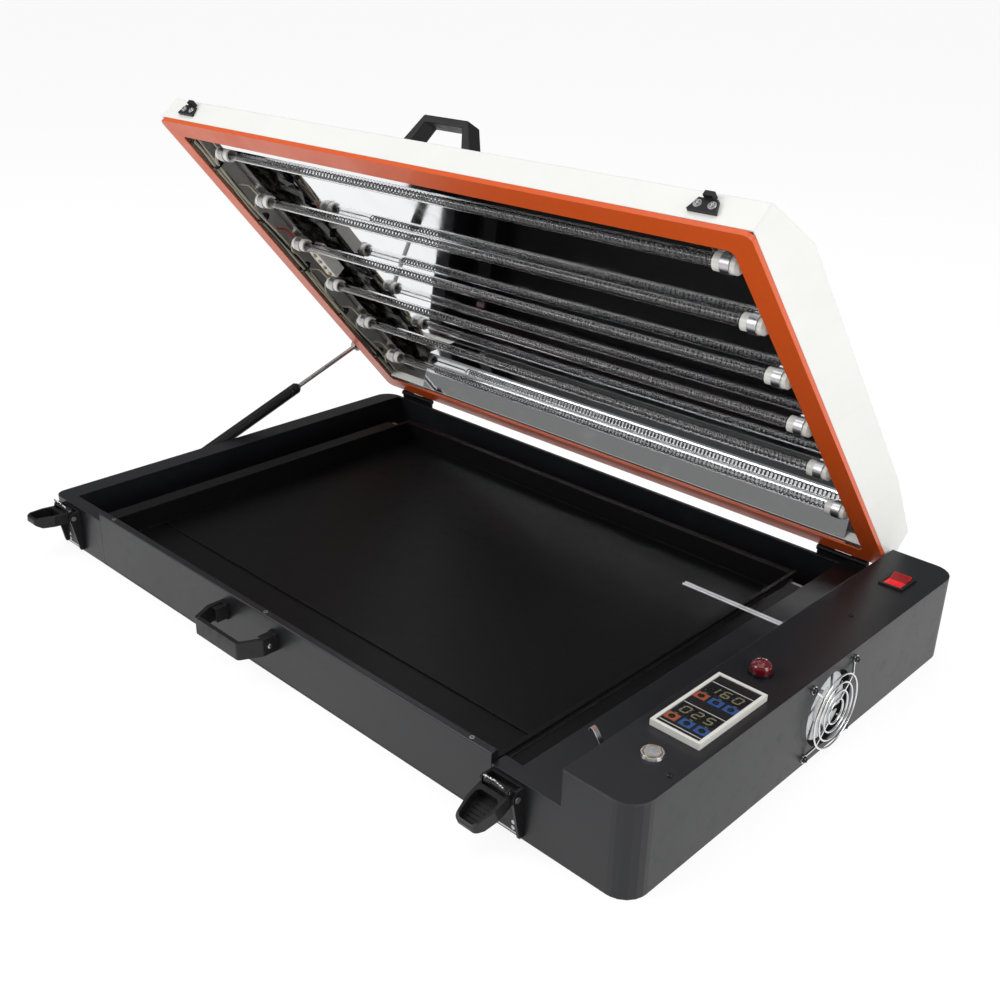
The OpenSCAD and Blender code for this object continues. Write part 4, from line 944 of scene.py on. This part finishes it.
class OvenLidSheet(bpy.types.Operator):
    """Adds the strip inside the lid's mouth, the shell's folds, the handle and the rivets"""

    bl_idname = "oven.lid_sheet"
    bl_label = "Lid sheet"

    def execute(self, context):
        self.strip()
        fold = plate(rectangle(1.2, 330), 0, 5, 0.3)
        folds = [put(fold, (x, 255, 52)) for x in (1.6, 783.2)]
        piece("side_folds", folds, "lid", "white_paint", None, LID)
        self.grip()
        rivet = lathe([(3, 0), (2.6, 0.8), (1.2, 1.3)], 16)
        rivets = [put(rivet, (40 + 117 * k, 10, 5.2)) for k in range(7)]
        piece("frame_rivets", rivets, "lid", "orange_paint", None, LID, True)
        return {"FINISHED"}

    def strip(self):
        """The folded strip along the rear of the lid's mouth."""
        profile = [(0, 0), (1.2, 0), (1.2, 9), (7, 9), (7, 10.2), (0, 10.2)]
        turn = spin(90, "Y") @ spin(90, "Z")
        strip = moved(plate(profile, 0, 738, 0.3), turn)
        piece("rear_strip", [put(strip, (24, 489, 2))], "lid", "white_paint", None, LID)

    def grip(self):
        """The bridge handle with eased edges, and a pad under each foot."""
        arch = [(-52, 0), (-30, 37), (30, 37), (52, 0)]
        arch += [(39, 0), (25.5, 29.6), (-25.5, 29.6), (-39, 0)]
        place = (
            Matrix.Translation((393, 0, 33))
            @ Matrix.Rotation(atan2(27, 76), 4, "X")
            @ Matrix.Translation((0, 52, 0.3))
            @ spin(90)
        )
        parts = [plate(arch, 0.6, 19.4, 1.3, 3)]
        parts += [plate(rectangle(13, 1.6, x, 0.8), 0.2, 19.8, 0.4) for x in (-45.6, 45.6)]
        grip = moved(join_parts(parts), place)
        piece("lid_grip", [grip], "lid", "black_plastic", None, LID, False, ["lid_handle"])


class OvenController(bpy.types.Operator):
    """Lays out the controller's face: windows, digits and coloured blocks"""

    bl_idname = "oven.controller"
    bl_label = "Controller face"

    FACE = (824.8, 140, 95)
    KEY_STEP = 14.4
    DIGIT_STEP = 11.5
    WINDOW_UP = 15
    # The digits of each row, and its keys' place from the middle of the face.
    ROWS = (("160", 8.6), ("025", -31.7))
    LIT = {"0": "abcdef", "1": "bc", "2": "abged", "5": "afgcd", "6": "afgedc"}
    FINISH_OF = {
        "display_windows": "face_film",
        "lit_segments": "segments",
        "dim_segments": "dark_recess",
        "warm_blocks": "warm_pocket",
        "blue_blocks": "blue_pocket",
        "key_rings": "face_film",
        "status_marks": "segments",
        "face_lines": "pale_bezel",
    }

    def execute(self, context):
        face = self.FACE
        parts = {name: [] for name in self.FINISH_OF}
        for digits, y in self.ROWS:
            middle = y + self.WINDOW_UP
            window = plate(rectangle(38, 15, 0, middle), 0.02, 0.22, 0.08)
            parts["display_windows"].append(put(window, face))
            for i, digit in enumerate(digits):
                for name, bar in self.bars((i - 1) * self.DIGIT_STEP, middle):
                    group = "lit_segments" if name in self.LIT[digit] else "dim_segments"
                    parts[group].append(put(plate(bar, 0.22, 0.34), face))
            for i in range(3):
                spot = (face[0] + self.KEY_STEP * (i - 1), face[1] + y, face[2])
                block = put(holed(11.6, 9.6, 2.9, 0.02, 0.3), spot)
                parts["warm_blocks" if i == 0 else "blue_blocks"].append(block)
                ring = hoop([(2.8, 0.02), (2.8, 0.5), (2.3, 0.5), (2.3, 0.02)], 24)
                parts["key_rings"].append(put(ring, spot))
                mark = plate(rectangle(2.6, 0.9), 0.02, 0.2)
                parts["status_marks"].append(put(mark, (spot[0], spot[1] + 6.2, spot[2])))
        for y in [24.4 + row for digits, row in self.ROWS] + [-40.5]:
            line = plate(rectangle(40.4, 0.7, 0, y), 0.02, 0.14)
            parts["face_lines"].append(put(line, face))
        for name, finish in self.FINISH_OF.items():
            piece(name, parts[name], "base", "black_plastic", finish)
        return {"FINISHED"}

    def bars(self, x, y):
        """The seven bars of a digit round a middle point."""
        wide, half, thick, lean = 3.1, 2.3, 0.75, 0.12
        tall, inner, end = 2 * half, wide - thick, half - 0.2
        across = [(-wide, 0), (-inner, thick), (inner, thick)]
        across += [(wide, 0), (inner, -thick), (-inner, -thick)]
        along = [(0, -end), (thick, thick - half), (thick, half - thick)]
        along += [(0, end), (-thick, half - thick), (-thick, thick - half)]
        places = {
            "a": (across, 0, tall), "g": (across, 0, 0), "d": (across, 0, -tall),
            "b": (along, wide, half), "c": (along, wide, -half),
            "f": (along, -wide, half), "e": (along, -wide, -half),
        }
        for name, (shape, dx, dy) in places.items():
            yield name, [(x + dx + lean * dy + a + lean * b, y + dy + b) for a, b in shape]


class OvenControls(bpy.types.Operator):
    """Adds the fine parts of the button, lamp, rocker and lid switch"""

    bl_idname = "oven.controls"
    bl_label = "Controls"

    BUTTON = (826, 63, 93.14)
    LAMP = (821.5, 221, 91.2)
    ROCKER = (827, 457, 90)
    SWITCH = (795, 58, 61)

    def execute(self, context):
        ring = hoop([(7.6, 0), (7.6, 0.25), (6.9, 0.35), (6.9, 0)], 40)
        inner = [put(ring, self.BUTTON)]
        piece("button_inner_ring", inner, "start_button_body", "white_paint", "brass", smooth=True)
        self.lamp()
        self.rocker()
        self.switch()
        return {"FINISHED"}

    def lamp(self):
        """The grip ribs round the lamp's collar."""
        ribs, count, radius = [], 24, 11.05
        x, y, z = self.LAMP
        for k in range(count):
            turn = tau * k / count
            spot = (x + radius * cos(turn), y + radius * sin(turn), z)
            rib = plate(rectangle(0.5, 0.8), -0.9, 0.9)
            ribs.append(put(rib, spot, turn * 360 / tau, "Z"))
        piece("lamp_grips", ribs, "base", "black_plastic", "dark_recess")

    def rocker(self):
        """The rocker's two ridges, and a plate in a darker red on its rear half as painted shade.
        """
        tilt = Matrix.Translation(self.ROCKER) @ spin(8)
        ridges = []
        for y in (-9, -7.4):
            low, high = 1.3 + abs(y) * 0.14, 1.75 + abs(y) * 0.14
            ridges.append(moved(plate(rectangle(12, 0.7, 0, y), low, high, 0.1), tilt))
        piece("rocker_ridges", ridges, "rocker_body", "red_plastic")
        # A thin plate in a darker copy of the rocker's red lies on the rear half: painted shade of
        # that half.
        outline = [(-9, 0.5), (9, 0.5), (9, 11.2), (-9, 11.2)]
        verts = [(x, y, 1.02 + 0.193 * y + up) for up in (0.02, 0.12) for x, y in outline]
        faces = [[0, 1, 2, 3], [4, 5, 6, 7]]
        faces += [[k, (k + 1) % 4, (k + 1) % 4 + 4, k + 4] for k in range(4)]
        shade = [moved((verts, faces), tilt)]
        piece("rocker_shade", shade, "rocker_body", "red_plastic", "shade_red")

    def switch(self):
        """The sprung strip of the lid switch and its pivot pin."""
        x, y, z = self.SWITCH
        path = [(x, z), (789, 68.7), (783, 76.4), (777, 84)]
        path += [(773.2, 88.8), (770.6, 89.8), (768.9, 88), (769.2, 85.5)]
        last, half_thick = len(path) - 1, 0.4
        outer, inner = [], []
        for i, (px, pz) in enumerate(path):
            ahead = Vector(path[min(i + 1, last)]) - Vector(path[max(i - 1, 0)])
            side = Vector((-ahead.y, ahead.x)).normalized() * half_thick
            outer.append((px + side.x, pz + side.y))
            inner.append((px - side.x, pz - side.y))
        turn = Matrix.Translation((0, y, 0)) @ spin(90)
        strip = moved(plate(outer + inner[::-1], -2.6, 2.6, 0.1), turn)
        pivot = put(lathe([(1.45, -5.8), (1.45, 5.8)], 20), self.SWITCH, 90)
        piece(
            "lid_switch_strip", [strip, pivot], "switch_lever_body", "bright_steel", "chrome",
            stands_for=["limit_switch_lever"],
        )


class OvenFan(bpy.types.Operator):
    """Adds the fan's hub label, the faces of its blades and the hub's rings"""

    bl_idname = "oven.fan"
    bl_label = "Fan"

    CENTRE = (858.5, 280, 44)
    BLADES = 7
    HUB_RADIUS, TIP_RADIUS = 17.5, 33

    def execute(self, context):
        hub = move(*self.CENTRE) @ spin(90, "Y")
        body, slot = "fan_rotor_body", "black_plastic"
        label = lathe([(13.5, -2.98), (13.5, -2.8), (13, -2.75)], 40)
        dot = lathe([(3, -2.8), (3, -2.6), (2.4, -2.5)], 24)
        piece("fan_label", [label, dot], body, slot, "pale_bezel", hub, True)
        blades = []
        for k in range(self.BLADES):
            start = tau * k / self.BLADES
            near = [(self.HUB_RADIUS, start + tau * 0.014 * i) for i in range(8)]
            far = [(self.TIP_RADIUS, start + tau * (0.05 + 0.0165 * i)) for i in range(8)]
            outline = [(r * cos(turn), r * sin(turn)) for r, turn in near + far[::-1]]
            blades.append(plate(outline[::-1], -4.4, -3.6, 0.1))
        piece("fan_blades", blades, body, slot, "fan_plastic", hub)
        rings = []
        for r in (15.4, 17):
            profile = [(r + 0.5, -2.98), (r + 0.5, -2.7), (r - 0.5, -2.7), (r - 0.5, -2.98)]
            rings.append(hoop(profile, 48))
        piece("hub_rings", rings, body, slot, "fan_plastic", hub, True)
        return {"FINISHED"}


class OvenLatches(bpy.types.Operator):
    """Adds the ribs, rivets, strips and hook wires of the two latches"""

    bl_idname = "oven.latches"
    bl_label = "Latches"

    # The side, the place along the front and the lever's rest angle of each latch.
    LATCHES = (("left", 41, 5), ("right", 735, -20))
    PIVOT_Y, PIVOT_Z = -9, 45
    FRONT_Y = -2.5
    HOOK_LEAN = 35

    def execute(self, context):
        rivets, strips = [], []
        rivet = lathe([(2.1, 0), (1.7, 0.3), (0.8, 0.42)], 16)
        for side, x, rest in self.LATCHES:
            lever = Matrix.Translation((x, self.PIVOT_Y, self.PIVOT_Z))
            lever = lever @ spin(-rest)
            ribs = []
            for k in range(6):
                bar = rectangle(20 - 0.35 * k, 0.9, 0, -15 - 4 * k)
                ribs.append(moved(plate(bar, -3, -2.2, 0.2), lever))
            piece(f"latch_{side}_ribs", ribs, f"latch_{side}", "black_plastic")
            for step in (-9, 9):
                for z in (8.5, 14):
                    rivets.append(put(rivet, (x + step, self.FRONT_Y, z), 90))
            strip = plate(rectangle(26, 1.6), 0, 0.3, 0.1)
            strips.append(put(strip, (x, self.FRONT_Y, 5), 90))
            self.hook(f"hook_{side}", lever, rest)
        piece("latch_rivets", rivets, "base", "bright_steel", smooth=True)
        piece("latch_strips", strips, "base", "bright_steel", "pale_bezel")
        return {"FINISHED"}

    def hook(self, body, lever, rest):
        """The black sleeve and the crinkled wire of a hook."""
        place = (
            lever
            @ Matrix.Translation((0, -2, 8.5))
            @ spin(rest + self.HOOK_LEAN)
        )
        line = [(-9, 1), (-9.4, 5), (-6, 7.4), (-7.4, 11), (-3.4, 13.4), (-1.4, 9.4), (0, 12.6)]
        line += [(-a, b) for a, b in line[-2::-1]]
        wire = tube(wave([(a, 0, b) for a, b in line], 5), 0.85, 8)
        pin = put(lathe([(1.5, -15.1), (1.5, 15.1)], 20), (0, 0, 0), 90, "Y")
        wires = [moved(part, place) for part in (wire, pin)]
        stands_for = ["latch_" + body]
        piece(body + "_wire", wires, body, "bright_steel", "chrome", HOME, True, stands_for)
        half = [(2.2, -12.2), (3, -11.6), (3, -4.4), (2.4, -4)]
        profile = half + [(r, -height) for r, height in half[::-1]]
        sleeve = moved(put(lathe(profile, 24), (0, 0, 0), 90, "Y"), place)
        piece(body + "_sleeve", [sleeve], body, "black_plastic", smooth=True)


class OvenScrews(bpy.types.Operator):
    """Adds the crosses and cups of the screws, and the screws and blades at the rear"""

    bl_idname = "oven.screws"
    bl_label = "Screws"

    BODY_OF = {"panel_screws": "base", "drawer_screws": "drawer"}

    def execute(self, context):
        for node, body in self.BODY_OF.items():
            marks = []
            for middle, span in islands(node):
                axis = min(range(3), key=lambda k: span[k])
                radius = max(span) / 2
                side = 1 if axis == 2 or middle.x > 0 else -1
                turn = {0: (90 * side, "Y"), 1: (90, "X"), 2: (0, "Z")}[axis]
                top = span[axis] / 2
                # Each cross is a dark mark standing just above the head: painted shade of the
                # recess.
                mark = cross(radius, top - radius * 0.22, top + 0.05)
                marks.append(put(mark, middle, *turn))
            piece(node + "_crosses", marks, body, "bright_steel", "dark_recess", ROW)
        self.keepers()
        self.rear()
        return {"FINISHED"}

    def keepers(self):
        """Cups and crosses of the keepers' screws."""
        cup = hoop([(3.7, 0), (3.5, 0.6), (2.8, 0.6), (2.8, 0)], 24)
        spots = [(x + step, -3.5, 18) for x in (42.5, 736.5) for step in (-6.75, 6.75)]
        cups = [put(cup, spot, 90) for spot in spots]
        # The crosses are dark marks on the screws: painted shade of the recesses.
        marks = [put(cross(2.6, 1.2, 1.9), spot, 90) for spot in spots]
        piece("keeper_cups", cups, "lid", "bright_steel", None, LID, True)
        piece("keeper_crosses", marks, "lid", "bright_steel", "dark_recess", LID)

    def rear(self):
        """Screws of the hinge leaves and of the mains inlet, and the inlet's blades."""
        low, high, blades = [], [], []
        head = lathe([(3.2, 0), (2.9, 1), (1.6, 1.6)], 20)
        for x in (62, 736):
            for step in (-20, 20):
                low.append(put(head, (x + step, 521.5, 42), -90))
                high.append(put(head, (x + step - 1, 521.5, 20), -90))
        for x in (804.5, 829.5):
            low.append(put(lathe([(2, 0), (1.8, 0.8), (1, 1.1)], 18), (x, 523, 44), -90))
        for x, z in ((813, 41), (821, 41), (817, 47)):
            blades.append(put(plate(rectangle(1.6, 4.4), 0, 1.8, 0.2), (x, 521, z), -90))
        piece("base_hinge_screws", low, "base", "bright_steel", smooth=True)
        piece("lid_hinge_screws", high, "lid", "bright_steel", None, LID, True)
        piece("inlet_blades", blades, "base", "bright_steel", "brass")


class OvenStrut(bpy.types.Operator):
    """Adds the two bands of the strut's cylinder"""

    bl_idname = "oven.strut"
    bl_label = "Gas strut"

    LOWER_BALL = (-10, 150, 21)
    RISE = 19.331

    def execute(self, context):
        along = Matrix.Translation(self.LOWER_BALL) @ spin(self.RISE)
        along = along @ spin(-90)
        bands = []
        for a, b in ((20, 24), (214, 218)):
            profile = [(7.5, a), (7.62, a + 0.3), (7.62, b - 0.3), (7.5, b)]
            bands.append(moved(lathe(profile, 32), along))
        body, slot = "strut_cylinder_body", "black_plastic"
        piece("strut_bands", bands, body, slot, "face_film", smooth=True)
        return {"FINISHED"}


OPERATORS = (
    OvenStage,
    OvenFinishes,
    OvenCoils,
    OvenLidWiring,
    OvenLidSheet,
    OvenController,
    OvenControls,
    OvenFan,
    OvenLatches,
    OvenScrews,
    OvenStrut,
)


class OvenPanel(bpy.types.Panel):
    """Lists the steps that dress the oven"""

    bl_idname = "VIEW3D_PT_oven"
    bl_label = "Curing oven"
    bl_space_type = "VIEW_3D"
    bl_region_type = "UI"
    bl_category = "Oven"

    def draw(self, context):
        for step in OPERATORS:
            self.layout.operator(step.bl_idname)
        for group in (context.scene.oven_sizes, context.scene.oven_colours):
            for key in group.bl_rna.properties.keys():
                if key not in {"rna_type", "name"}:
                    self.layout.prop(group, key)


CLASSES = (OvenSizes, OvenColours, *OPERATORS, OvenPanel)


def register():
    """Registers the classes and their settings."""
    for each in CLASSES:
        bpy.utils.register_class(each)
    bpy.types.Scene.oven_sizes = bpy.props.PointerProperty(type=OvenSizes)
    bpy.types.Scene.oven_colours = bpy.props.PointerProperty(type=OvenColours)


def unregister():
    """Takes the classes and their settings away."""
    del bpy.types.Scene.oven_colours
    del bpy.types.Scene.oven_sizes
    for each in reversed(CLASSES):
        bpy.utils.unregister_class(each)


def main():
    """Dresses the whole oven in order."""
    register()
    bpy.ops.oven.stage()
    bpy.ops.oven.finishes()
    bpy.ops.oven.coils()
    bpy.ops.oven.lid_wiring()
    bpy.ops.oven.lid_sheet()
    bpy.ops.oven.controller()
    bpy.ops.oven.controls()
    bpy.ops.oven.fan()
    bpy.ops.oven.latches()
    bpy.ops.oven.screws()
    bpy.ops.oven.strut()


if __name__ == "__main__":
    main()
